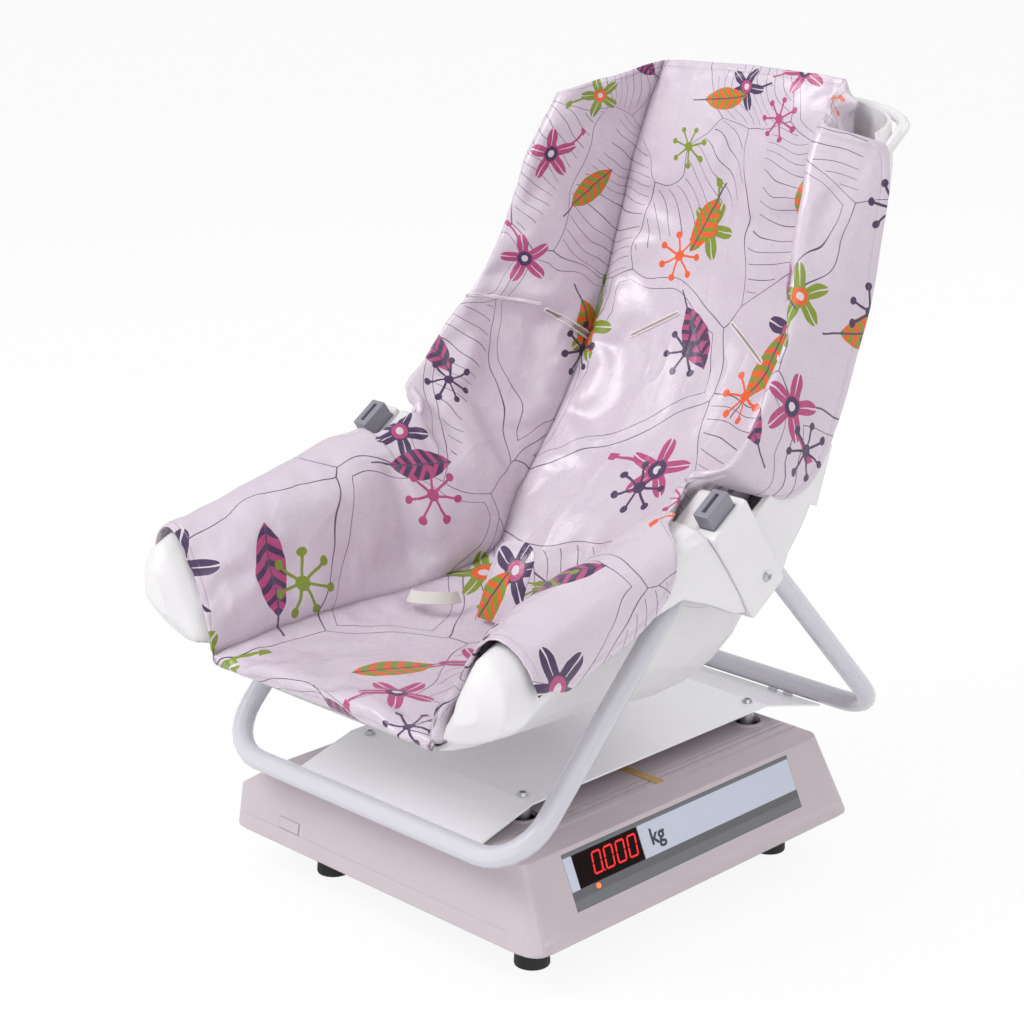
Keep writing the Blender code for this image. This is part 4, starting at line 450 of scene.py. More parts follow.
def printFlowers(where, colour):
    x, y, shown, main, other = motifPlace(where, flower)
    radius, angle = fromMiddle(x, y), calc("ARCTAN2", y, x)
    wave = calc("COSINE", times(angle, flower["petals"]))
    body = both(below(radius, plus(times(wave, flower["petalDepth"]), flower["petalMiddle"])), shown)
    colour = mixColour(body, colour, main)
    halfWave = magnitude(calc("SINE", times(angle, flower["petals"] / 2)))
    vein = both(body, below(halfWave, flower["veinHalf"]), above(radius, flower["veinFrom"]))
    colour = mixColour(vein, colour, inks["ground"])
    colour = mixColour(both(below(radius, flower["heart"]), shown), colour, other)
    colour = mixColour(both(below(radius, flower["eye"]), shown), colour, inks["ground"])
    # curled stem with a bead at its end
    bend = magnitude(minus(y, times(times(x, x), flower["stemBend"])))
    stem = both(below(bend, flower["stemHalf"]), above(x, flower["stemFrom"]), below(x, flower["stemEnd"]), shown)
    bead = both(below(magnitude(minus(x, flower["stemEnd"])), flower["beadAlong"]),
                below(bend, flower["beadAcross"]), shown)
    return mixColour(either(stem, bead), colour, main)


def printLeaves(where, colour):
    x, y, shown, main, other = motifPlace(where, leaf)
    across = magnitude(y)
    bulge = calc("POWER", magnitude(calc("DIVIDE", x, leaf["halfLong"])), 2.0)
    body = both(below(across, times(minus(1.0, bulge), leaf["halfWide"])), shown)
    chevron = plus(x, times(across, leaf["stripeLean"]))
    stripes = above(calc("PINGPONG", chevron, leaf["stripeGap"]), leaf["stripeFrom"])
    colour = mixColour(body, colour, main)
    colour = mixColour(both(body, stripes), colour, other)
    rib = both(below(across, leaf["ribHalf"]), below(x, leaf["ribEnd"]), above(x, leaf["stalkEnd"]), shown)
    return mixColour(rib, colour, inks["line"])


def printSeedHeads(where, colour):
    # thin rays that end in beads
    x, y, shown, main, other = motifPlace(where, seedHead)
    radius = fromMiddle(x, y)
    slices = calc("PINGPONG", plus(calc("ARCTAN2", y, x), math.pi), math.pi / seedHead["rays"])
    across, along = times(radius, calc("SINE", slices)), times(radius, calc("COSINE", slices))
    ray = both(below(across, seedHead["rayHalf"]), below(radius, seedHead["reach"]), shown)
    bead = both(below(fromMiddle(minus(along, seedHead["reach"]), across), seedHead["bead"]), shown)
    heart = both(below(radius, seedHead["heart"]), shown)
    return mixColour(either(ray, bead, heart), colour, main)


# printed vinyl: painted shade in the valleys and dust over the print, and the forms of its face as (depth,
# strength)
vinyl = {
    "shadeSize": 0.060,
    "wobbleSize": 0.016, "wobble": 0.0034, "motifScale": 0.70,
    # painted shade along the valleys: the distances over which it fades, its strength and its colour
    "foldFrom": 0.0002, "foldTo": 0.0030, "paintedValleyShadeShare": 0.55, "paintedValleyShade": (0.36, 0.27, 0.36),
    "dustSize": 0.009, "dustShare": 0.10, "dustShade": (0.80, 0.76, 0.80),
    "sheenSize": 0.012, "rough": (0.24, 0.37), "coat": 0.18, "coatRough": 0.18,
    "grainSize": 0.0011, "grain": (0.00006, 1.0),
    "crumpleSize": 0.016, "crumple": (0.0012, 0.6),
    "ridgeSize": 0.034, "ridgeStretch": (1.0, 0.45, 0.45), "ridgeSlope": 9.0, "ridgePower": 1.6,
    "ridge": (0.0008, 0.55),
    "valleyReach": 0.0045, "valley": (0.0018, 0.9),
    "weldFromEdge": 0.0065, "weldFrom": 0.0004, "weldTo": 0.0014, "weld": (0.0005, 0.9),
}


def vinylFinish():
    shader, place = startMaterial("printedVinyl")
    where, edge = (addNode(shader, "ShaderNodeUVMap", {"uv_map": name}).outputs[0] for name in ("print", "edge"))
    colour = mixColour(grain(place, vinyl["shadeSize"], detail=2.0), inks["ground"], inks["groundShade"])
    colour = mixColour(outlineMask(where), colour, inks["line"])
    inked = scaled(wavy(where, vinyl["wobbleSize"], vinyl["wobble"]), vinyl["motifScale"])
    for printMotif in (printFlowers, printLeaves, printSeedHeads):
        colour = printMotif(inked, colour)
    # the edge map holds the distances from the cut edge and from the nearer valley beside the pad
    fromEdge, fromValley = parts(edge)[:2]
    # painted shade: the colour darkens towards the valleys beside the pad
    shade = spread(fromValley, vinyl["foldFrom"], vinyl["foldTo"], vinyl["paintedValleyShadeShare"], 0.0)
    colour = mixColour(shade, colour, vinyl["paintedValleyShade"], "MULTIPLY")
    dust = times(grain(place, vinyl["dustSize"], detail=4.0), vinyl["dustShare"])
    feed(shader.inputs["Base Color"], mixColour(dust, colour, vinyl["dustShade"], "MULTIPLY"))
    feed(shader.inputs["Roughness"], spread(grain(place, vinyl["sheenSize"]), *noiseSpan, *vinyl["rough"]))
    feed(shader.inputs["Coat Weight"], vinyl["coat"])
    feed(shader.inputs["Coat Roughness"], vinyl["coatRough"])
    stretched = addNode(place, "ShaderNodeMapping", None,
                        {"Vector": place, "Scale": vinyl["ridgeStretch"]}).outputs[0]
    creased = magnitude(minus(grain(stretched, vinyl["ridgeSize"], detail=2.0, rough=0.4), 0.5))
    forms = {
        "grain": grain(place, vinyl["grainSize"]),
        "crumple": grain(place, vinyl["crumpleSize"], rough=0.6),
        "ridge": calc("POWER", calc("MAXIMUM", minus(1.0, times(creased, vinyl["ridgeSlope"])), 0.0),
                      vinyl["ridgePower"]),
        "valley": spread(fromValley, 0.0, vinyl["valleyReach"], 0.0, 1.0),
        "weld": spread(magnitude(minus(fromEdge, vinyl["weldFromEdge"])), vinyl["weldFrom"], vinyl["weldTo"],
                       0.0, 1.0),
    }
    face = None
    for form, height in forms.items():
        depth, strength = vinyl[form]
        face = bumpUp(shader, height, depth, strength, face)


vinylFinish()

webbing = {"weaveScale": 420.0, "dark": (0.62, 0.60, 0.56), "light": (0.82, 0.80, 0.76), "rough": (0.60, 0.80),
           "sheen": 0.2, "depth": 0.0002}


def webbingFinish():
    shader, place = startMaterial("whiteWebbing")
    weave = addNode(place, "ShaderNodeTexWave", {"bands_direction": "DIAGONAL"},
                    {"Vector": place, "Scale": webbing["weaveScale"]}).outputs["Fac"]
    feed(shader.inputs["Base Color"], mixColour(weave, webbing["dark"], webbing["light"]))
    feed(shader.inputs["Roughness"], spread(weave, 0.0, 1.0, *webbing["rough"]))
    feed(shader.inputs["Sheen Weight"], webbing["sheen"])
    bumpUp(shader, weave, webbing["depth"])


webbingFinish()
print("vinyl and webbing made")

sides = ("right", "left")
corners = ("front_right", "front_left", "back_right", "back_left")


def each(stem, ends):
    return [stem + "_" + end for end in ends]


nodeFinish = {
    "housingPlastic": ["upper_housing", "base_plate", "front_sticker"],
    "whitePlastic": ["seat_shell", "backrest_shell"] + each("hinge_block", sides) + each("hinge_cap", sides),
    "whitePaint": ["front_leg_tube", "rear_leg_tube"],
    "trayPaintLitCopy": ["tray_plate"],
    "buttonPlastic": each("release_button", sides),
    "greyPlastic": ["power_switch_frame", "power_rocker", "power_jack"],
    "blackRubber": each("foot", corners),
    "zincSteel": ["cell_spacer_fixed", "cell_spacer_live", "platform_spider"] + each("tray_screw", corners)
    + each("hinge_screw", sides) + each("button_spring", sides),
    "castAluminium": ["load_cell"] + each("platform_post", corners),
    "circuitBoard": ["main_board", "display_board"],
    "panelFilm": ["display_overlay"],
    "smokedWindow": ["display_window"],
    "dimDigit": ["digit_module"],
    "lampLens": ["status_lamp"],
    "amberTape": ["seal_strip"],
    "batteryWrap": ["battery_pack"],
}
for finish, names in nodeFinish.items():
    for name in names:
        for materialSlot in cadNodes[name].material_slots:
            materialSlot.material = made[finish]
print("frame pieces finished")


def newPiece(name, data, finish):
    piece = newObject(name, data)
    data.materials.clear()
    data.materials.append(made[finish])
    return piece


def meshFrom(name, points, faces, smooth=True):
    mesh = bpy.data.meshes.new(name)
    mesh.from_pydata([tuple(p) for p in points], [], faces)
    mesh.update()
    for polygon in mesh.polygons:
        polygon.use_smooth = smooth
    return mesh


def gridFaces(rows, columns, start=0, flip=False):
    faces = []
    for i in range(rows - 1):
        for j in range(columns - 1):
            a = start + i * columns + j
            face = (a, a + 1, a + columns + 1, a + columns)
            faces.append(tuple(reversed(face)) if flip else face)
    return faces


def gridRim(rows, columns):
    rim = list(range(columns))
    rim += [i * columns + columns - 1 for i in range(1, rows)]
    rim += [(rows - 1) * columns + j for j in range(columns - 2, -1, -1)]
    return rim + [i * columns for i in range(rows - 2, 0, -1)]


# the arm's section at stations along it, as the seat moulding has it: (x, z) round it from the top outwards
armStations = (
    (-0.2620, ((0.165, 0.256), (0.172, 0.252), (0.175, 0.243), (0.173, 0.234),
               (0.164, 0.228), (0.152, 0.226), (0.153, 0.238), (0.158, 0.249))),
    (-0.2560, ((0.166, 0.268), (0.178, 0.261), (0.185, 0.246), (0.182, 0.230),
               (0.165, 0.218), (0.138, 0.212), (0.146, 0.233), (0.156, 0.255))),
    (-0.2400, ((0.168, 0.278), (0.184, 0.268), (0.192, 0.247), (0.189, 0.227),
               (0.166, 0.212), (0.123, 0.203), (0.138, 0.232), (0.153, 0.263))),
    (-0.2150, ((0.164, 0.281), (0.183, 0.275), (0.191, 0.255), (0.187, 0.236),
               (0.163, 0.226), (0.130, 0.216), (0.134, 0.240), (0.146, 0.270))),
    (-0.1800, ((0.160, 0.290), (0.181, 0.284), (0.188, 0.265), (0.185, 0.248),
               (0.160, 0.240), (0.139, 0.238), (0.1365, 0.256), (0.143, 0.281))),
    (-0.1200, ((0.160, 0.304), (0.180, 0.299), (0.187, 0.281), (0.184, 0.262),
               (0.160, 0.255), (0.141, 0.254), (0.1375, 0.276), (0.143, 0.297))),
    (-0.0700, ((0.160, 0.316), (0.180, 0.311), (0.186, 0.293), (0.184, 0.272),
               (0.160, 0.265), (0.141, 0.264), (0.1375, 0.288), (0.143, 0.309))),
    (-0.0250, ((0.160, 0.324), (0.180, 0.319), (0.186, 0.285), (0.184, 0.250),
               (0.160, 0.246), (0.141, 0.246), (0.1375, 0.285), (0.143, 0.318))),
    (0.0100, ((0.160, 0.331), (0.180, 0.326), (0.186, 0.285), (0.184, 0.242),
              (0.160, 0.238), (0.141, 0.238), (0.1375, 0.285), (0.143, 0.325))),
)
armProbe = 0.01    # how far along the section its direction is measured, as a share of the way round


def smoothValue(places, values, at):
    # Hermite curve through the values
    places = np.asarray(places, float)
    values = np.asarray(values, float)
    slopes = np.gradient(values, places)
    i = int(np.clip(np.searchsorted(places, at) - 1, 0, len(places) - 2))
    span = places[i + 1] - places[i]
    t = min(max((at - places[i]) / span, 0.0), 1.0)
    return float((2 * t**3 - 3 * t**2 + 1) * values[i] + (t**3 - 2 * t**2 + t) * span * slopes[i]
                 + (3 * t**2 - 2 * t**3) * values[i + 1] + (t**3 - t**2) * span * slopes[i + 1])


def curveThrough(before, here, after, beyond, t):
    # Catmull-Rom: the point at share t between here and after
    return 0.5 * (2 * here + (after - before) * t + (2 * before - 5 * here + 4 * after - beyond) * t**2
                  + (3 * here - before - 3 * after + beyond) * t**3)


def armCorner(at, y):
    places = [station[0] for station in armStations]
    count = len(armStations[0][1])
    first = int(math.floor(at * count))
    near = []
    for index in range(first - 1, first + 3):
        around = [station[1][index % count] for station in armStations]
        near.append(Vector((smoothValue(places, [c[0] for c in around], y),
                            smoothValue(places, [c[1] for c in around], y))))
    return curveThrough(*near, at * count - first)


def armOffset(at, y, out):
    along = (armCorner(at + armProbe, y) - armCorner(at - armProbe, y)).normalized()
    return armCorner(at, y) + Vector((-along.y, along.x)) * out


# the cover's sections: seat rows by y, then rows round the crotch, then back rows from there up
seatRows = {
    "y": (-0.2500, -0.2420, -0.2270, -0.2050, -0.1650, -0.1200, -0.0950, -0.0750, -0.0500),
    "middle": (0.1990, 0.2020, 0.2045, 0.2045, 0.2035, 0.2020, 0.2025, 0.2040, 0.2080),
    "creaseX": (0.1150, 0.1150, 0.1140, 0.1120, 0.1100, 0.1060, 0.1030, 0.0990, 0.0930),
    "creaseZ": (0.2010, 0.2030, 0.2050, 0.2070, 0.2090, 0.2110, 0.2120, 0.2130, 0.2160),
    "wall": (0.1185, 0.1185, 0.1180, 0.1175, 0.1175, 0.1160, 0.1150, 0.1140, 0.1110),
    "wrap": (0.25, 0.26, 0.29, 0.33, 0.34, 0.31, 0.24, 0.05, 0.0),
    "rake": (0.0200, 0.0190, 0.0120, 0.0040, 0.0, 0.0, 0.0, 0.0, 0.0),
}
turnRows = (
    # middle (y, z), crease, ridge and edge (x, y, z) between the seat and the back
    ((-0.0300, 0.2130), (0.0895, -0.0340, 0.2190), (0.1400, -0.0560, 0.3205), (0.1500, -0.0540, 0.3225)),
    ((-0.0040, 0.2205), (0.0865, -0.0100, 0.2240), (0.1395, -0.0450, 0.3260), (0.1480, -0.0420, 0.3270)),
    ((0.0160, 0.2260), (0.0840, 0.0080, 0.2300), (0.1385, -0.0350, 0.3310), (0.1440, -0.0310, 0.3310)),
)
backRows = {
    "middleY": (0.0270, 0.0480, 0.0760, 0.1110, 0.1450, 0.1650, 0.1770, 0.1890, 0.2000, 0.2080, 0.2130),
    "middleZ": (0.2320, 0.2580, 0.2840, 0.3200, 0.3700, 0.4160, 0.4500, 0.4900, 0.5420, 0.5780, 0.5950),
    "creaseX": (0.0820, 0.0930, 0.1020, 0.1090, 0.1120, 0.1110, 0.1100, 0.1100, 0.1040, 0.0960, 0.0910),
    "creaseY": (0.0200, 0.0400, 0.0710, 0.1070, 0.1390, 0.1580, 0.1700, 0.1830, 0.1950, 0.2050, 0.2110),
    "creaseZ": (0.2370, 0.2620, 0.2880, 0.3230, 0.3680, 0.4120, 0.4480, 0.4880, 0.5400, 0.5760, 0.5930),
    "ridgeX": (0.1360, 0.1400, 0.1660, 0.1670, 0.1650, 0.1560, 0.1480, 0.1430, 0.1350, 0.1330, 0.1330),
    "ridgeY": (-0.0290, -0.0220, -0.0130, 0.0080, 0.0320, 0.0600, 0.0750, 0.0890, 0.1080, 0.1230, 0.1290),
    "ridgeZ": (0.3330, 0.3400, 0.3530, 0.3700, 0.3980, 0.4280, 0.4600, 0.4960, 0.5400, 0.5640, 0.5710),
    "edgeX": (0.1410, 0.1450, 0.1735, 0.1755, 0.1745, 0.1735, 0.1740, 0.1730, 0.1715, 0.1650, 0.1630),
    "edgeY": (-0.0250, -0.0110, 0.0420, 0.0800, 0.1080, 0.1260, 0.1410, 0.1510, 0.1600, 0.1660, 0.1640),
    "edgeZ": (0.3330, 0.3350, 0.3170, 0.3260, 0.3660, 0.4060, 0.4460, 0.4900, 0.5280, 0.5500, 0.5570),
}
rowShiftY = 0.0096    # from the sections' own place to the frame's
# the front lip: how far the pad rolls down over it, from its cut edge up: y against the first row, and height
frontRoll = ((0.0062, -0.0115), (0.0036, -0.0108), (0.0008, -0.0085), (-0.0010, -0.0052), (-0.0012, -0.0024),
             (-0.0006, -0.0008))
coverShape = {
    "padPoints": 13,    # points from the middle to the valley, up the side from there, and over the arm or wing
    "wallPoints": 13,
    "overPoints": 12,
    "seatCuts": 30,    # rows cut along the seat, up to lastSeatY, and along the back, from firstBack
    "lastSeatY": -0.0620,
    "backCuts": 60,
    "firstBack": 0.08,
    "rowGap": 0.0055,
    "valley": 0.0042,
    "valleyCrease": 0.75,
    "valleyLift": 0.3,
    "rollHem": 0.0030,
    "rollShare": 0.35,
    "seatPuff": 0.0035,
    "backPuff": 0.0040,
    "padThick": 0.0065,
    "edgeThick": 0.0015,
    "thinFrom": 0.6,    # share of the side from which the seat's sheet has no padding, and its last such row
    "thinRows": 34,
    "edgeCells": 4,
    "rimOut": 0.0006,
    "solidGap": 0.0008,
    "leastThick": 0.0015,
}
# the side of the seat and its fold over the arm, by shares of the way round the arm's section
seatSide = {
    "clear": 0.0055, "overArm": 0.002, "turnOut": 0.004, "footRise": 0.020,
    "turnAt": -0.25, "innerAt": (-0.15, -0.08, -0.02), "topAt": -0.02, "leastWrap": 0.02, "overCuts": 9,
    "footRake": 0.1, "turnRake": 0.4, "innerRake": 0.5,
}
# the back's crown, its side and the soft turn at the ridge
backSide = {
    "lean": math.radians(26), "pinch": 0.003, "out": (-1.0, -0.45, 0.2),
    "puffs": ((0.12, 0.5), (0.38, 1.0), (0.68, 0.9), (0.88, 0.5)),
    "turn": 0.010, "turnLess": 0.006, "turnMost": 0.35, "turnIn": 0.6, "turnOver": 0.2,
    "flapMiddle": 0.55, "flapPuff": 0.6,
}


def evenly(path, count):
    path = [Vector(p) for p in path]
    lengths = [0.0]
    for first, second in zip(path, path[1:]):
        lengths.append(lengths[-1] + (second - first).length)
    points = []
    for want in np.linspace(0.0, lengths[-1], count):
        i = min(int(np.searchsorted(lengths, want, side="right")) - 1, len(path) - 2)
        t = (want - lengths[i]) / max(lengths[i + 1] - lengths[i], 1e-9)
        points.append(path[i].lerp(path[i + 1], min(max(t, 0.0), 1.0)))
    return points


def roundedPath(path, steps=6):
    path = [Vector(p) for p in path]
    ends = [path[0] * 2 - path[1]] + path + [path[-1] * 2 - path[-2]]
    points = [curveThrough(*near, t) for near in zip(ends, ends[1:], ends[2:], ends[3:])
              for t in np.linspace(0.0, 1.0, steps, endpoint=False)]
    return points + [path[-1]]


def seatHalf(y):
    row = {key: smoothValue(seatRows["y"], values, y) for key, values in seatRows.items()}
    clear = seatSide["clear"] + seatSide["overArm"]

    def overArm(at, rake, out=clear):
        spot = armOffset(at, y + row["rake"] * rake, out)
        return Vector((spot.x, y + row["rake"] * rake, spot.y))

    points = []
    for share in np.linspace(0.0, 1.0, coverShape["padPoints"]):
        crown = coverShape["seatPuff"] * (1 - share**2)
        height = row["middle"] + (row["creaseZ"] - row["middle"]) * share**3
        points.append(Vector((row["creaseX"] * share, y, height + crown)))
    foot = Vector((row["wall"], y + row["rake"] * seatSide["footRake"], row["creaseZ"] + seatSide["footRise"]))
    wall = [points[-1], foot, overArm(seatSide["turnAt"], seatSide["turnRake"], clear + seatSide["turnOut"])]
    wall += [overArm(at, seatSide["innerRake"]) for at in seatSide["innerAt"]]
    points += evenly(roundedPath(wall), coverShape["wallPoints"] + 1)[1:]
    top = seatSide["topAt"]
    reach = max(row["wrap"], seatSide["leastWrap"]) - top
    over = [overArm(top + reach * share, seatSide["innerRake"] + (1 - seatSide["innerRake"]) * share)
            for share in np.linspace(0.0, 1.0, seatSide["overCuts"])]
    return points + evenly(over, coverShape["overPoints"] + 1)[1:]


def backHalf(middle, crease, ridge, edge, along):
    front = Vector((0.0, -math.cos(backSide["lean"]), math.sin(backSide["lean"])))
    puff = coverShape["backPuff"]
    points = []
    for share in np.linspace(0.0, 1.0, coverShape["padPoints"]):
        crown = puff * (1 - share**4)
        pinch = backSide["pinch"] * share**8 * (1 - along**4)
        points.append(middle.lerp(crease, share) + front * (crown - pinch))
    side = Vector(backSide["out"]).normalized()
    wall = [points[-1]]
    wall += [crease.lerp(ridge, share) + side * puff * amount for share, amount in backSide["puffs"]]
    toCrease = (crease - ridge).normalized()
    toEdge = (edge - ridge).normalized()
    soft = min(backSide["turn"] - backSide["turnLess"] * along**4, (edge - ridge).length * backSide["turnMost"])
    wall += [ridge + toCrease * soft * backSide["turnIn"],
             ridge + (toCrease + toEdge) * soft * backSide["turnOver"]]
    points += evenly(roundedPath(wall, steps=4), coverShape["wallPoints"] + 1)[1:]
    flap = ridge.lerp(edge, backSide["flapMiddle"]) + Vector((1.0, 0.0, 0.0)) * puff * backSide["flapPuff"]
    over = [points[-1], ridge + toEdge * soft, flap, edge]
    return points + evenly(roundedPath(over, steps=4), coverShape["overPoints"] + 1)[1:]


def rolledHalf(step, forward, drop):
    # the pad and the foot of the wall turn down over the lip, the rest of the wall ends in a hem
    hem = coverShape["rollHem"] * (1 - step)
    row = seatHalf(seatRows["y"][0] - hem)
    pad = coverShape["padPoints"]
    wall = coverShape["wallPoints"]
    for k, point in enumerate(row):
        away = min(max(k - pad + 1, 0) / (wall * coverShape["rollShare"]), 1.0)
        share = (1 - away) ** 2
        point.y += (forward + hem) * share
        point.z += drop * share
    return row


def coverRows():
    count = len(frontRoll)
    rows = [rolledHalf(k / count, *frontRoll[k]) for k in range(count)]
    rows += [seatHalf(y) for y in np.linspace(seatRows["y"][0], coverShape["lastSeatY"], coverShape["seatCuts"])]
    for middle, crease, ridge, edge in turnRows:
        rows.append(backHalf(Vector((0.0, *middle)), Vector(crease), Vector(ridge), Vector(edge), 0.0))
    places = np.linspace(0.0, 1.0, len(backRows["middleY"]))
    for along in np.linspace(coverShape["firstBack"], 1.0, coverShape["backCuts"]):
        row = {key: smoothValue(places, values, along) for key, values in backRows.items()}
        crease, ridge, edge = (Vector([row[line + axis] for axis in "XYZ"]) for line in ("crease", "ridge", "edge"))
        rows.append(backHalf(Vector((0.0, row["middleY"], row["middleZ"])), crease, ridge, edge, along))
    return rows


def resampleRows(rows, gap):
    # rows at even distances along the sheet, measured at the crease
    table = np.array([[tuple(p) for p in row] for row in rows])
    guide = table[:, coverShape["padPoints"] - 1]
    lengths = np.concatenate([[0.0], np.cumsum(np.linalg.norm(np.diff(guide, axis=0), axis=1))])
    wants = np.linspace(0.0, lengths[-1], int(round(lengths[-1] / gap)) + 1)
    even = np.zeros((len(wants), table.shape[1], 3))
    for j in range(table.shape[1]):
        for k in range(3):
            even[:, j, k] = [smoothValue(lengths, table[:, j, k], want) for want in wants]
    return even


halfSheet = resampleRows(coverRows(), coverShape["rowGap"])
halfSheet[:, :, 1] += rowShiftY
leftSide = halfSheet[:, :0:-1].copy()
leftSide[:, :, 0] *= -1
sheet = np.concatenate([leftSide, halfSheet], axis=1)
rowCount, columnCount = sheet.shape[:2]
middleColumn = columnCount // 2
valleyColumn = coverShape["padPoints"] - 1    # counted from the middle
ridgeColumn = valleyColumn + coverShape["wallPoints"]
print("cover sheet", rowCount, columnCount)


def sheetNormals(grid):
    normal = np.cross(np.gradient(grid, axis=1), np.gradient(grid, axis=0))
    return normal / np.maximum(np.linalg.norm(normal, axis=2, keepdims=True), 1e-12)


# the vinyl is a little larger than its frame: cloth lets it buckle between the lines where it is held
clothLook = {
    "frames": 20,
    "cap": 0.0055,
    "heldWall": 0.85,
    "heldFlap": 0.6,
    "settings": {
        "quality": 6, "mass": 0.25, "tension_stiffness": 25, "compression_stiffness": 25, "shear_stiffness": 10,
        "bending_stiffness": 1.5, "tension_damping": 10, "compression_damping": 10, "air_damping": 3,
        "shrink_min": -0.035, "vertex_group_mass": "held", "pin_stiffness": 8,
    },
}


def heldWeight(i, j):
    side = abs(j - middleColumn)
    if i in (0, rowCount - 1) or j in (0, columnCount - 1) or side == valleyColumn:
        return 1.0
    if side == ridgeColumn:
        return clothLook["heldWall"]
    return clothLook["heldFlap"] if side > ridgeColumn else 0.0


def relaxSheet(grid):
    cloth = newObject("coverCloth", meshFrom("coverCloth", grid.reshape(-1, 3), gridFaces(rowCount, columnCount)))
    held = cloth.vertex_groups.new(name="held")
    for i in range(rowCount):
        for j in range(columnCount):
            weight = heldWeight(i, j)
            if weight:
                held.add([i * columnCount + j], weight, "REPLACE")
    modifier = cloth.modifiers.new("cloth", "CLOTH")
    for key, value in clothLook["settings"].items():
        setattr(modifier.settings, key, value)
    modifier.settings.effector_weights.gravity = 0.0
    modifier.point_cache.frame_start = 1
    modifier.point_cache.frame_end = clothLook["frames"]
    for number in range(1, clothLook["frames"] + 1):
        bpy.context.scene.frame_set(number)
    settled = cloth.evaluated_get(bpy.context.evaluated_depsgraph_get()).to_mesh()
    moved = np.zeros(len(settled.vertices) * 3)
    settled.vertices.foreach_get("co", moved)
    step = moved.reshape(grid.shape) - grid
    bpy.context.scene.frame_set(1)
    bpy.data.objects.remove(cloth)
    size = np.linalg.norm(step, axis=2, keepdims=True)
    return grid + step * np.minimum(1.0, clothLook["cap"] / np.maximum(size, 1e-9))


sheet = relaxSheet(sheet)
print("cover relaxed")

# soft folds that the vinyl shows: from, to, half width and height
coverFolds = (
    ((-0.060, 0.170, 0.455), (0.030, 0.150, 0.415), 0.010, 0.0030),
    ((0.020, 0.195, 0.520), (0.050, 0.165, 0.430), 0.008, 0.0024),
    ((-0.020, 0.190, 0.500), (0.005, 0.165, 0.425), 0.007, 0.0020),
    ((0.060, 0.180, 0.480), (0.095, 0.160, 0.420), 0.008, 0.0022),
    ((-0.090, 0.150, 0.400), (-0.020, 0.110, 0.330), 0.014, 0.0022),
    ((0.095, 0.110, 0.330), (0.030, 0.070, 0.285), 0.014, 0.0024),
    ((-0.150, 0.040, 0.440), (-0.120, 0.150, 0.395), 0.009, 0.0045),
    ((-0.155, 0.050, 0.420), (-0.122, 0.150, 0.372), 0.008, -0.0025),
    ((0.150, 0.040, 0.440), (0.120, 0.150, 0.395), 0.008, 0.0035),
    ((-0.140, -0.050, 0.300), (-0.110, -0.060, 0.235), 0.008, 0.0042),
    ((-0.140, -0.030, 0.300), (-0.105, -0.035, 0.240), 0.007, -0.0030),
    ((0.140, -0.050, 0.300), (0.110, -0.060, 0.235), 0.008, 0.0036),
    ((-0.150, 0.130, 0.540), (-0.135, 0.100, 0.500), 0.007, 0.0030),
    ((0.150, 0.130, 0.540), (0.135, 0.100, 0.500), 0.007, 0.0030),
    ((-0.110, -0.180, 0.215), (-0.060, -0.120, 0.207), 0.012, -0.0016),
    ((0.100, -0.190, 0.213), (0.040, -0.100, 0.206), 0.012, 0.0018),
)
foldEnds = {"reach": 3.5, "least": 0.35, "from": 0.05, "to": 0.95}
# long soft waves and small dimples over the whole sheet: how tight along each axis, and how high
coverWaves = {"tight": (30, 24, 14), "high": 0.0016}
coverDimples = {"tight": 55, "from": (7.0, 3.0, 1.0), "high": 0.0008}


def foldHeight(point):
    total = 0.0
    for first, second, width, height in coverFolds:
        first = Vector(first)
        line = Vector(second) - first
        t = min(max((point - first).dot(line) / line.length_squared, 0.0), 1.0)
        away = (point - (first + line * t)).length
        if away < width * foldEnds["reach"]:
            swell = math.sin(math.pi * min(max(t, foldEnds["from"]), foldEnds["to"]))
            total += (height * math.exp(-(away / width) ** 2)
                      * (foldEnds["least"] + (1 - foldEnds["least"]) * swell))
    return total


def shapeSheet(grid):
    outward = sheetNormals(grid)
    shaped = grid.copy()
    for i in range(rowCount):
        for j in range(columnCount):
            point = Vector(grid[i, j])
            fromRim = min(i, rowCount - 1 - i, j, columnCount - 1 - j) / coverShape["edgeCells"]
            lift = foldHeight(point)
            lift += noise.noise(point * Vector(coverWaves["tight"])) * coverWaves["high"]
            lift += noise.noise(point * coverDimples["tight"] + Vector(coverDimples["from"])) * coverDimples["high"]
            if abs(j - middleColumn) == valleyColumn:
                lift = lift * coverShape["valleyLift"] - coverShape["valley"]
            shaped[i, j] += outward[i, j] * lift * min(fromRim, 1.0)
    return shaped


sheet = shapeSheet(sheet)


# the moulded pieces the cover must stay clear of
def solidTree(names):
    shape = bmesh.new()
    for name in names:
        shape.from_mesh(cadNodes[name].data)
    bmesh.ops.triangulate(shape, faces=shape.faces)
    return BVHTree.FromBMesh(shape)


seatSolids = solidTree(["seat_shell"] + each("hinge_cap", sides))
backSolids = solidTree(["backrest_shell"] + each("hinge_block", sides))
pushReach = 0.03     # how near a solid is looked for
pushDepth = 0.012    # a point deeper inside than this belongs to the far side, and stays


def pushClear(points, tree, gap):
    moved = 0
    for index in range(len(points)):
        point = Vector(points[index])
        near, normal = tree.find_nearest(point, pushReach)[:2]
        if near is None:
            continue
        out = (point - near).dot(normal)
        if -pushDepth < out < gap:
            points[index] = np.array(near + normal * gap)
            moved += 1
    return moved


def sheetThickness():
    thick = np.full((rowCount, columnCount), coverShape["padThick"])
    thin = coverShape["edgeThick"]
    for i in range(rowCount):
        for j in range(columnCount):
            side = abs(j - middleColumn)
            fromEdge = min(i, rowCount - 1 - i, middleColumn - side)
            if (side > coverShape["padPoints"] + coverShape["wallPoints"] * coverShape["thinFrom"]
                    and i < coverShape["thinRows"]):
                thick[i, j] = thin
            thick[i, j] = thin + (thick[i, j] - thin) * min(fromEdge / coverShape["edgeCells"], 1.0)
    return thick


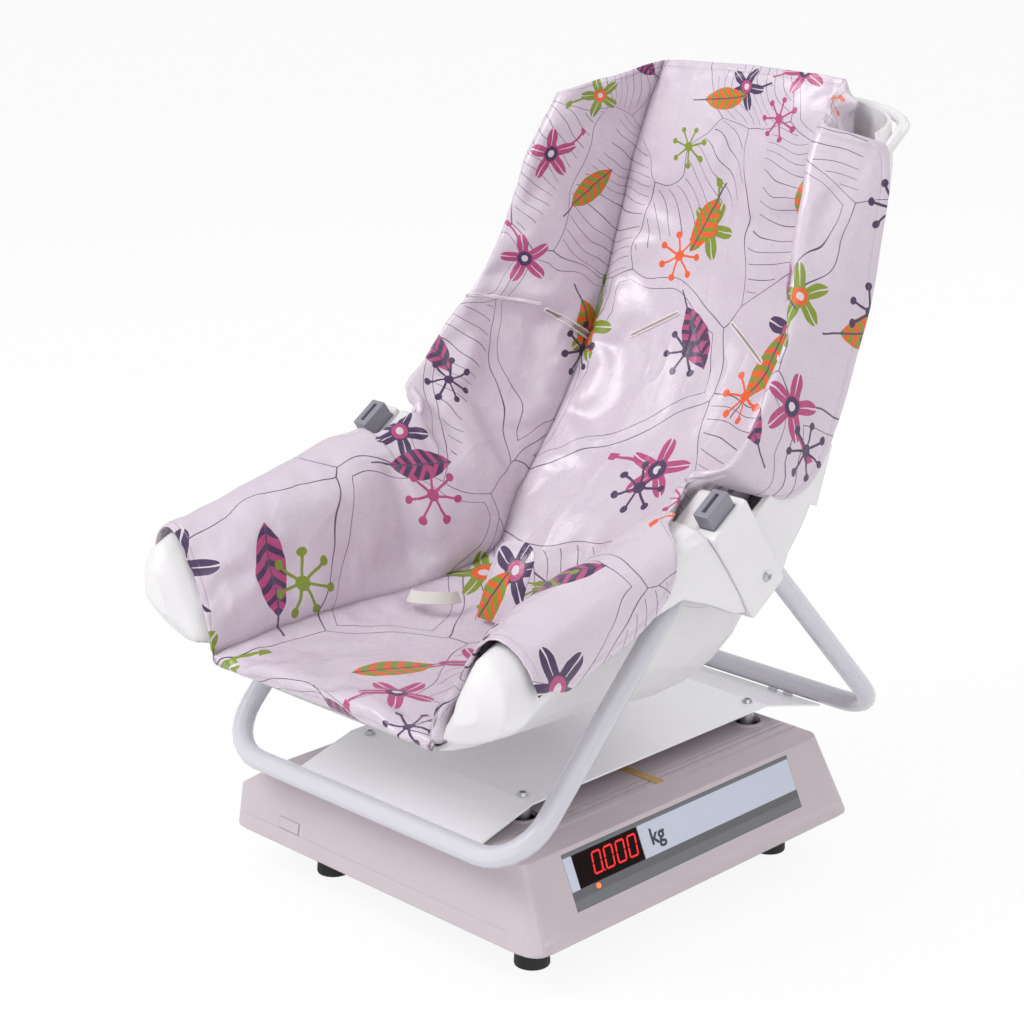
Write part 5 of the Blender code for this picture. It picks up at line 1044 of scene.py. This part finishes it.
normals = sheetNormals(sheet)
under = sheet - normals * sheetThickness()[:, :, None]
coverRim = gridRim(rowCount, columnCount)


def buildCover():
    front = sheet.reshape(-1, 3)
    back = under.reshape(-1, 3).copy()
    flat = normals.reshape(-1, 3)
    print("pushed clear", [pushClear(back, tree, coverShape["solidGap"]) for tree in (seatSolids, backSolids)])
    # keep the face above its own underside
    gap = ((front - back) * flat).sum(axis=1)
    lift = np.maximum(coverShape["leastThick"] - gap, 0.0)
    front = front + flat * lift[:, None]
    count = rowCount * columnCount
    # rounded rim: a middle line between face and underside, a little outwards
    middleLine = []
    for index in coverRim:
        i, j = divmod(index, columnCount)
        inner = min(max(i, 1), rowCount - 2) * columnCount + min(max(j, 1), columnCount - 2)
        step = front[index] - front[inner]
        out = step / max(np.linalg.norm(step), 1e-9)
        middleLine.append((front[index] + back[index]) / 2 + out * coverShape["rimOut"])
    points = np.concatenate([front, back, np.array(middleLine)])
    faces = gridFaces(rowCount, columnCount) + gridFaces(rowCount, columnCount, count, True)
    for k, index in enumerate(coverRim):
        after = (k + 1) % len(coverRim)
        following, m, n = coverRim[after], 2 * count + k, 2 * count + after
        faces.append((index, m, n, following))
        faces.append((m, index + count, following + count, n))
    mesh = meshFrom("seatAndBackCover", points, faces)
    # the two valleys stay fairly sharp when the sheet is subdivided
    sharp = mesh.attributes.new("crease_edge", "FLOAT", "EDGE")
    for edge in mesh.edges:
        if max(edge.vertices) < count:
            if {abs(index % columnCount - middleColumn) for index in edge.vertices} == {valleyColumn}:
                sharp.data[edge.index].value = coverShape["valleyCrease"]
    return newPiece("seatAndBackCover", mesh, "printedVinyl")


cover = buildCover()
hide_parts("seat_cover", "back_cover")


def flatPlaces():
    # low-stretch unwrap of the face, scaled to metres
    flat = newObject("flatSheet", meshFrom("flatSheet", sheet.reshape(-1, 3), gridFaces(rowCount, columnCount)))
    flat.data.uv_layers.new(name="flat")
    bpy.context.view_layer.objects.active = flat
    for other in bpy.context.selected_objects:
        other.select_set(False)
    flat.select_set(True)
    bpy.ops.object.mode_set(mode="EDIT")
    bpy.ops.mesh.select_all(action="SELECT")
    bpy.ops.uv.unwrap(method="CONFORMAL", margin=0.0)
    bpy.ops.object.mode_set(mode="OBJECT")
    places = np.zeros((rowCount * columnCount, 2))
    layer = flat.data.uv_layers["flat"].data
    areaUv = 0.0
    area = 0.0
    for polygon in flat.data.polygons:
        spots = []
        for loop in polygon.loop_indices:
            spot = layer[loop].uv
            places[flat.data.loops[loop].vertex_index] = spot
            spots.append(spot.copy())
        areaUv += abs(sum(a.x * b.y - b.x * a.y for a, b in zip(spots, spots[1:] + spots[:1]))) / 2
        area += polygon.area
    bpy.data.objects.remove(flat)
    return places * math.sqrt(area / areaUv)


def lengthsAlong(grid, axis):
    # distance of every point from the sheet's start along one axis
    steps = np.linalg.norm(np.diff(grid, axis=axis), axis=2)
    return np.insert(np.cumsum(steps, axis=axis), 0, 0.0, axis=axis)


def addCoverMaps(mesh):
    # the print's places, and each point's distances from the cut edge and from the nearer valley
    places = flatPlaces()
    fromSide = lengthsAlong(sheet, 1)
    fromFront = lengthsAlong(sheet, 0)
    fromEdge = np.minimum(np.minimum(fromSide, fromSide[:, -1:] - fromSide),
                          np.minimum(fromFront, fromFront[-1:] - fromFront)).reshape(-1)
    fromValley = np.minimum(*(np.abs(fromSide - fromSide[:, column, None])
                              for column in (middleColumn - valleyColumn, middleColumn + valleyColumn))).reshape(-1)
    count = rowCount * columnCount
    printLayer = mesh.uv_layers.new(name="print")
    edgeLayer = mesh.uv_layers.new(name="edge")
    for loop in mesh.loops:
        index = loop.vertex_index
        source = index % count if index < 2 * count else coverRim[index - 2 * count]
        printLayer.data[loop.index].uv = places[source]
        edgeLayer.data[loop.index].uv = (fromEdge[source], fromValley[source])


def subdivide(piece, shown, rendered):
    smoother = piece.modifiers.new("smoother", "SUBSURF")
    smoother.levels = shown
    smoother.render_levels = rendered


addCoverMaps(cover.data)
subdivide(cover, shown=1, rendered=1)
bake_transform(cover)
print("cover made")


def coverSpot(row, column):
    # a point on the cover's face at fractional grid places
    a, b = min(int(row), rowCount - 2), min(int(column), columnCount - 2)
    s, t = row - a, column - b
    return Vector((1 - s) * ((1 - t) * sheet[a, b] + t * sheet[a, b + 1])
                  + s * ((1 - t) * sheet[a + 1, b] + t * sheet[a + 1, b + 1]))


def nearestPlace(point):
    away = np.linalg.norm(sheet - np.array(point), axis=2)
    i, j = np.unravel_index(np.argmin(away), away.shape)
    return float(i), float(j)


# slots for the harness with their welded lips, and the pocket mouths and hems on the wings: ends, width, the lip's
# radius and the finish of the patch inside, which in the slots and pocket mouths is painted shade
slotPlaces = {
    "pocketMouthRight": ((-0.125, 0.1176, 0.4006), (-0.120, 0.1560, 0.3760), 0.0050, 0.0009, "pocketLining"),
    "pocketMouthLeft": ((0.125, 0.1176, 0.4006), (0.120, 0.1560, 0.3760), 0.0050, 0.0009, "pocketLining"),
    "pocketHemRight": ((-0.150, 0.0440, 0.4300), (-0.127, 0.1120, 0.4040), 0.0016, 0.0007, "weldedLip"),
    "pocketHemLeft": ((0.150, 0.0440, 0.4300), (0.127, 0.1120, 0.4040), 0.0016, 0.0007, "weldedLip"),
    "harnessSlotRight": ((-0.0704, 0.1580, 0.3831), (-0.0276, 0.1683, 0.4027), 0.0030, 0.0008, "slotPaintedShade"),
    "harnessSlotLeft": ((0.0276, 0.1683, 0.4027), (0.0704, 0.1580, 0.3831), 0.0030, 0.0008, "slotPaintedShade"),
}
slotShape = {"cuts": 14, "capCuts": 7, "insideLift": 0.0004, "lipLift": 0.0003, "lipRings": 3}
sheetTree = BVHTree.FromPolygons([tuple(p) for p in sheet.reshape(-1, 3)], gridFaces(rowCount, columnCount))


def buildSlot(name, first, second, width, lip, inside):
    start, end = nearestPlace(first), nearestPlace(second)
    line = [coverSpot(start[0] + (end[0] - start[0]) * t, start[1] + (end[1] - start[1]) * t)
            for t in np.linspace(0.0, 1.0, slotShape["cuts"])]
    normal = Vector(normals[int((start[0] + end[0]) / 2), int((start[1] + end[1]) / 2)])
    direction = (line[-1] - line[0]).normalized()
    across = normal.cross(direction).normalized()
    half = width / 2
    cap = [across * math.cos(angle) * half + direction * math.sin(angle) * half
           for angle in np.linspace(0.0, math.pi, slotShape["capCuts"])[1:-1]]
    outline = [point + across * half for point in line] + [line[-1] + step for step in cap]
    outline += [point - across * half for point in reversed(line)] + [line[0] - step for step in cap]

    def seated(point, lift):
        near, faceNormal = sheetTree.find_nearest(point)[:2]
        if faceNormal.dot(normal) < 0:
            faceNormal = -faceNormal
        return near + faceNormal * lift

    # a patch on the sheet inside the outline: in the slots and pocket mouths its dark colour is painted shade, on
    # the hems it is the lip's colour
    spots = [seated(point, slotShape["insideLift"]) for point in outline]
    mesh = meshFrom(name + "Lining", spots, [tuple(range(len(spots)))], False)
    curve = bpy.data.curves.new(name + "Lip", "CURVE")
    curve.dimensions = "3D"
    curve.bevel_depth = lip
    curve.bevel_resolution = slotShape["lipRings"]
    spline = curve.splines.new("POLY")
    spline.points.add(len(outline) - 1)
    spline.use_cyclic_u = True
    for place, point in zip(spline.points, outline):
        place.co = (*seated(point, slotShape["lipLift"]), 1.0)
    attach(newPiece(name + "Lining", mesh, inside), "backrest")
    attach(newPiece(name + "Lip", curve, "weldedLip"), "backrest")


for name, look in slotPlaces.items():
    buildSlot(name, *look)
print("slots made")

# soft tongue between the legs, in the place of its plain solid
tongueShape = {
    "across": 14, "up": 20,
    "thick": 0.0046, "rimThinner": 0.75,
    "lean": 0.026, "leanBend": 0.4, "leanFrom": 0.35,    # how far it leans back, and how much of that is a bend
    "bow": 0.0030, "ripple": 0.0012, "rippleTight": (2.2, 3.1, 4.0),
    "footWide": 1.02, "taper": 0.10,    # shares of its node's width
    "roundFrom": 0.80, "roundOver": 0.21, "roundPower": 2.4, "topLeast": 0.10,
    "lower": 0.002, "taller": 0.003,
    "print": (0.417, 0.450),
    "fromWeld": 0.002,
}


def tongueWidth(t):
    taper = tongueShape["footWide"] - tongueShape["taper"] * t
    rounding = max((t - tongueShape["roundFrom"]) / tongueShape["roundOver"], 0.0) ** tongueShape["roundPower"]
    return taper * math.sqrt(max(1 - rounding, tongueShape["topLeast"]))


def buildTongue():
    look = tongueShape
    low, high = (Vector(corner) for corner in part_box("crotch_pad"))
    middle = (low + high) / 2
    half = (high.x - low.x) / 2
    tall = high.z - low.z
    across, up = look["across"], look["up"]
    tightS, tightT, start = look["rippleTight"]
    front = []
    back = []
    for i in range(up + 1):
        t = i / up
        width = half * tongueWidth(t)
        lean = look["lean"] * (t * t * look["leanBend"] + t * (1 - look["leanBend"]) - look["leanFrom"])
        for j in range(across + 1):
            s = j / across * 2 - 1
            puff = look["thick"] / 2 * (1 - look["rimThinner"] * max(abs(s) ** 4, t ** 9))
            ripple = look["ripple"] * noise.noise(Vector((s * tightS, t * tightT, start)))
            y = middle.y + lean - (look["bow"] * (1 - s * s) * math.sin(math.pi * t) + ripple)
            z = low.z - look["lower"] + (tall + look["taller"]) * t
            front.append((middle.x + width * s, y - puff, z))
            back.append((middle.x + width * s, y + puff, z))
    count = len(front)
    columns = across + 1
    faces = gridFaces(up + 1, columns) + gridFaces(up + 1, columns, count, True)
    rim = gridRim(up + 1, columns)
    faces += [(b, a, a + count, b + count) for a, b in zip(rim, rim[1:] + rim[:1])]
    mesh = meshFrom("crotchTongue", front + back, faces)
    places = mesh.uv_layers.new(name="print")
    edges = mesh.uv_layers.new(name="edge")
    for loop in mesh.loops:
        spot = mesh.vertices[loop.vertex_index].co
        places.data[loop.index].uv = (look["print"][0] + spot.x - middle.x, look["print"][1] + spot.z - middle.z)
        i, j = divmod(loop.vertex_index % count, columns)
        fromEdge = min(min(j, across - j) / across * 2 * half, (up - i) / up * tall) + look["fromWeld"]
        edges.data[loop.index].uv = (fromEdge, 1.0)    # no valley is near
    tongue = newPiece("crotchTongue", mesh, "printedVinyl")
    subdivide(tongue, shown=1, rendered=2)
    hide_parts("crotch_pad")
    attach(tongue, "base")


# webbing loop beside the tongue: its path in plan, as shares of its node's box, with its rise
loopPath = ((0.04, 0.28, 0.0), (0.20, 0.06, 0.10), (0.48, 0.04, 0.22), (0.78, 0.26, 0.26), (0.94, 0.62, 0.16),
            (0.88, 0.96, 0.0))
loopBand = {"width": 0.0095, "thick": 0.0013, "tilt": math.radians(-24), "lift": 0.0008, "soft": 0.0003, "cuts": 8}


def buildLoop():
    low, high = (Vector(corner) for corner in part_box("strap_loop"))
    path = roundedPath([low + Vector(p) * (high - low) for p in loopPath], loopBand["cuts"])
    upright = Vector((0.0, 0.0, 1.0))
    c, s = math.cos(loopBand["tilt"]), math.sin(loopBand["tilt"])
    points = []
    for index, spot in enumerate(path):
        along = path[min(index + 1, len(path) - 1)] - path[max(index - 1, 0)]
        side = Vector((along.y, -along.x, 0.0)).normalized()
        up = upright * c + side * s
        out = side * c - upright * s
        for rise, shift in ((0, -1), (1, -1), (1, 1), (0, 1)):
            points.append(spot + up * rise * loopBand["width"] + out * shift * loopBand["thick"] / 2
                          + upright * loopBand["lift"])
    last = len(path) - 1
    faces = [(i * 4 + (k + 1) % 4, i * 4 + k, i * 4 + k + 4, i * 4 + (k + 1) % 4 + 4)
             for i in range(last) for k in range(4)]
    faces += [(0, 1, 2, 3), tuple(last * 4 + k for k in (3, 2, 1, 0))]
    mesh = meshFrom("webbingLoop", points, faces, False)
    shape = bmesh.new()
    shape.from_mesh(mesh)
    bmesh.ops.recalc_face_normals(shape, faces=shape.faces)
    shape.to_mesh(mesh)
    loop = newPiece("webbingLoop", mesh, "whiteWebbing")
    softer = loop.modifiers.new("softer", "BEVEL")
    softer.width = loopBand["soft"]
    softer.segments = 2
    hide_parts("strap_loop")
    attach(loop, "base")


buildTongue()
buildLoop()
print("tongue and loop made")


def buildSpring(side):
    node = "button_spring_" + side
    spring = newPiece("returnSpring" + side.capitalize(), cadNodes[node].data.copy(), "zincSteel")
    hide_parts(node)
    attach(spring, "base")
    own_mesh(spring)


for side in sides:
    buildSpring(side)
print("springs made")

# lit digits in the window, reading 0.000
digitLook = {
    "count": 4,
    "height": 0.0150,
    "width": 0.0082,
    "stroke": 0.0014,
    "thick": 0.0002,
    "gap": 0.00012,
    "pitch": 0.0124,
    "slant": math.radians(7),
    "firstY": -0.0995,
    "bottomZ": -0.0012,
    "dotAway": 0.0017,
    "dotShare": 0.55,
    "dotCuts": 12,
}


def strokeOutline(start, end):
    along = (end - start).normalized() * digitLook["stroke"] / 2
    across = Vector((-along.y, along.x))
    return [start, start + along + across, end - along + across, end, end - along - across, start + along - across]


def slanted(point):
    return Vector((point.x + point.y * math.tan(digitLook["slant"]), point.y))


def addPlate(shape, outline):
    lower, upper = ([shape.verts.new(panelPlane @ Vector((out, p.x, p.y))) for p in outline]
                    for out in (-digitLook["thick"], 0.0))
    shape.faces.new(upper)
    shape.faces.new(list(reversed(lower)))
    for k in range(len(outline)):
        n = (k + 1) % len(outline)
        shape.faces.new((lower[k], lower[n], upper[n], upper[k]))


def buildDigits():
    shape = bmesh.new()
    w, h = digitLook["width"], digitLook["height"]
    # a nought's six strokes, between its corners and the middles of its sides
    spots = {"bl": Vector((0, 0)), "br": Vector((w, 0)), "ml": Vector((0, h / 2)), "mr": Vector((w, h / 2)),
             "tl": Vector((0, h)), "tr": Vector((w, h))}
    strokes = (("bl", "br"), ("bl", "ml"), ("br", "mr"), ("ml", "tl"), ("mr", "tr"), ("tl", "tr"))
    for digit in range(digitLook["count"]):
        base = Vector((digitLook["firstY"] + digit * digitLook["pitch"], digitLook["bottomZ"]))
        for a, b in strokes:
            gap = (spots[b] - spots[a]).normalized() * digitLook["gap"]
            addPlate(shape, [base + slanted(p) for p in strokeOutline(spots[a] + gap, spots[b] - gap)])
    dot = Vector((digitLook["firstY"] + w + digitLook["dotAway"], digitLook["bottomZ"]))
    radius = digitLook["stroke"] * digitLook["dotShare"]
    addPlate(shape, [dot + Vector((math.cos(a), math.sin(a))) * radius
                     for a in np.linspace(0, math.tau, digitLook["dotCuts"], endpoint=False)])
    mesh = bpy.data.meshes.new("litDigits")
    shape.to_mesh(mesh)
    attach(newPiece("litDigits", mesh, "litDigit"), "base")


# unit mark beside the window, turned from the text's own plane into the panel's
unitLook = {"size": 0.0170, "thick": 0.00005, "bolder": 0.00034, "place": (0.00012, -0.0385, 0.0006)}
unitTurn = Matrix(((0, 0, 1, 0), (1, 0, 0, 0), (0, 1, 0, 0), (0, 0, 0, 1)))


def buildUnit():
    text = bpy.data.curves.new("unitMark", "FONT")
    text.body = "kg"
    text.size = unitLook["size"]
    text.extrude = unitLook["thick"]
    text.offset = unitLook["bolder"]
    mark = newPiece("unitMark", text, "darkInk")
    mark.matrix_world = panelPlane @ Matrix.Translation(unitLook["place"]) @ unitTurn
    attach(mark, "base")


buildDigits()
buildUnit()
print("display made")

# light and background: the camera, and rays through anything clear, see plain white
lighting = {
    "aim": (0.0, 0.0, 0.30),
    "lamps": {
        "key": {"place": (-0.9, -2.0, 2.6), "size": 1.6, "power": 62.0},
        "fill": {"place": (2.6, -1.2, 1.6), "size": 2.4, "power": 24.0},
        "back": {"place": (0.4, 2.4, 2.2), "size": 2.0, "power": 24.0},
    },
    "sky": 0.62,
}
white = (1.0, 1.0, 1.0, 1.0)
for name, look in lighting["lamps"].items():
    lamp = bpy.data.lights.new(name, "AREA")
    lamp.size = look["size"]
    lamp.energy = look["power"]
    holder = newObject(name, lamp)
    holder.location = look["place"]
    holder.rotation_euler = (Vector(lighting["aim"]) - Vector(look["place"])).to_track_quat("-Z", "Y").to_euler()

world = bpy.data.worlds.new("studio")
bpy.context.scene.world = world
world.use_nodes = True
background = world.node_tree.nodes["Background"]
rays = addNode(background, "ShaderNodeLightPath").outputs
seen = either(rays["Is Camera Ray"], rays["Is Transmission Ray"])
feed(background.inputs["Color"], white)
feed(background.inputs["Strength"], calc("MAXIMUM", seen, lighting["sky"]))

# pale floor that keeps the object's shadow
floorLook = {"half": 8.0, "height": -0.0005, "cloudSize": 0.4, "low": (0.88, 0.88, 0.885),
             "high": (0.92, 0.92, 0.925), "rough": 0.8, "whiteShare": 0.90}


def floorFinish():
    shader, place = startMaterial("paleFloor")
    feed(shader.inputs["Base Color"], mixColour(grain(place, floorLook["cloudSize"]), floorLook["low"],
                                                floorLook["high"]))
    feed(shader.inputs["Roughness"], floorLook["rough"])
    glow = addNode(shader, "ShaderNodeEmission", None, {"Color": white, "Strength": 1.0})
    rays = addNode(shader, "ShaderNodeLightPath").outputs
    seen = either(rays["Is Camera Ray"], rays["Is Glossy Ray"], rays["Is Transmission Ray"])
    mixed = addNode(shader, "ShaderNodeMixShader", None, {0: times(seen, floorLook["whiteShare"]),
                                                          1: shader.outputs[0], 2: glow.outputs[0]})
    feed(shader.id_data.nodes["Material Output"].inputs["Surface"], mixed.outputs[0])


floorFinish()
half = floorLook["half"]
floorCorners = [(x * half, y * half, floorLook["height"]) for x, y in ((-1, -1), (1, -1), (1, 1), (-1, 1))]
floorMesh = meshFrom("floor", floorCorners, [(0, 1, 2, 3)], False)
floorMesh.materials.append(made["paleFloor"])
floor = newObject("floor", floorMesh)

bpy.context.scene.view_settings.view_transform = "Standard"

print("scene ready")
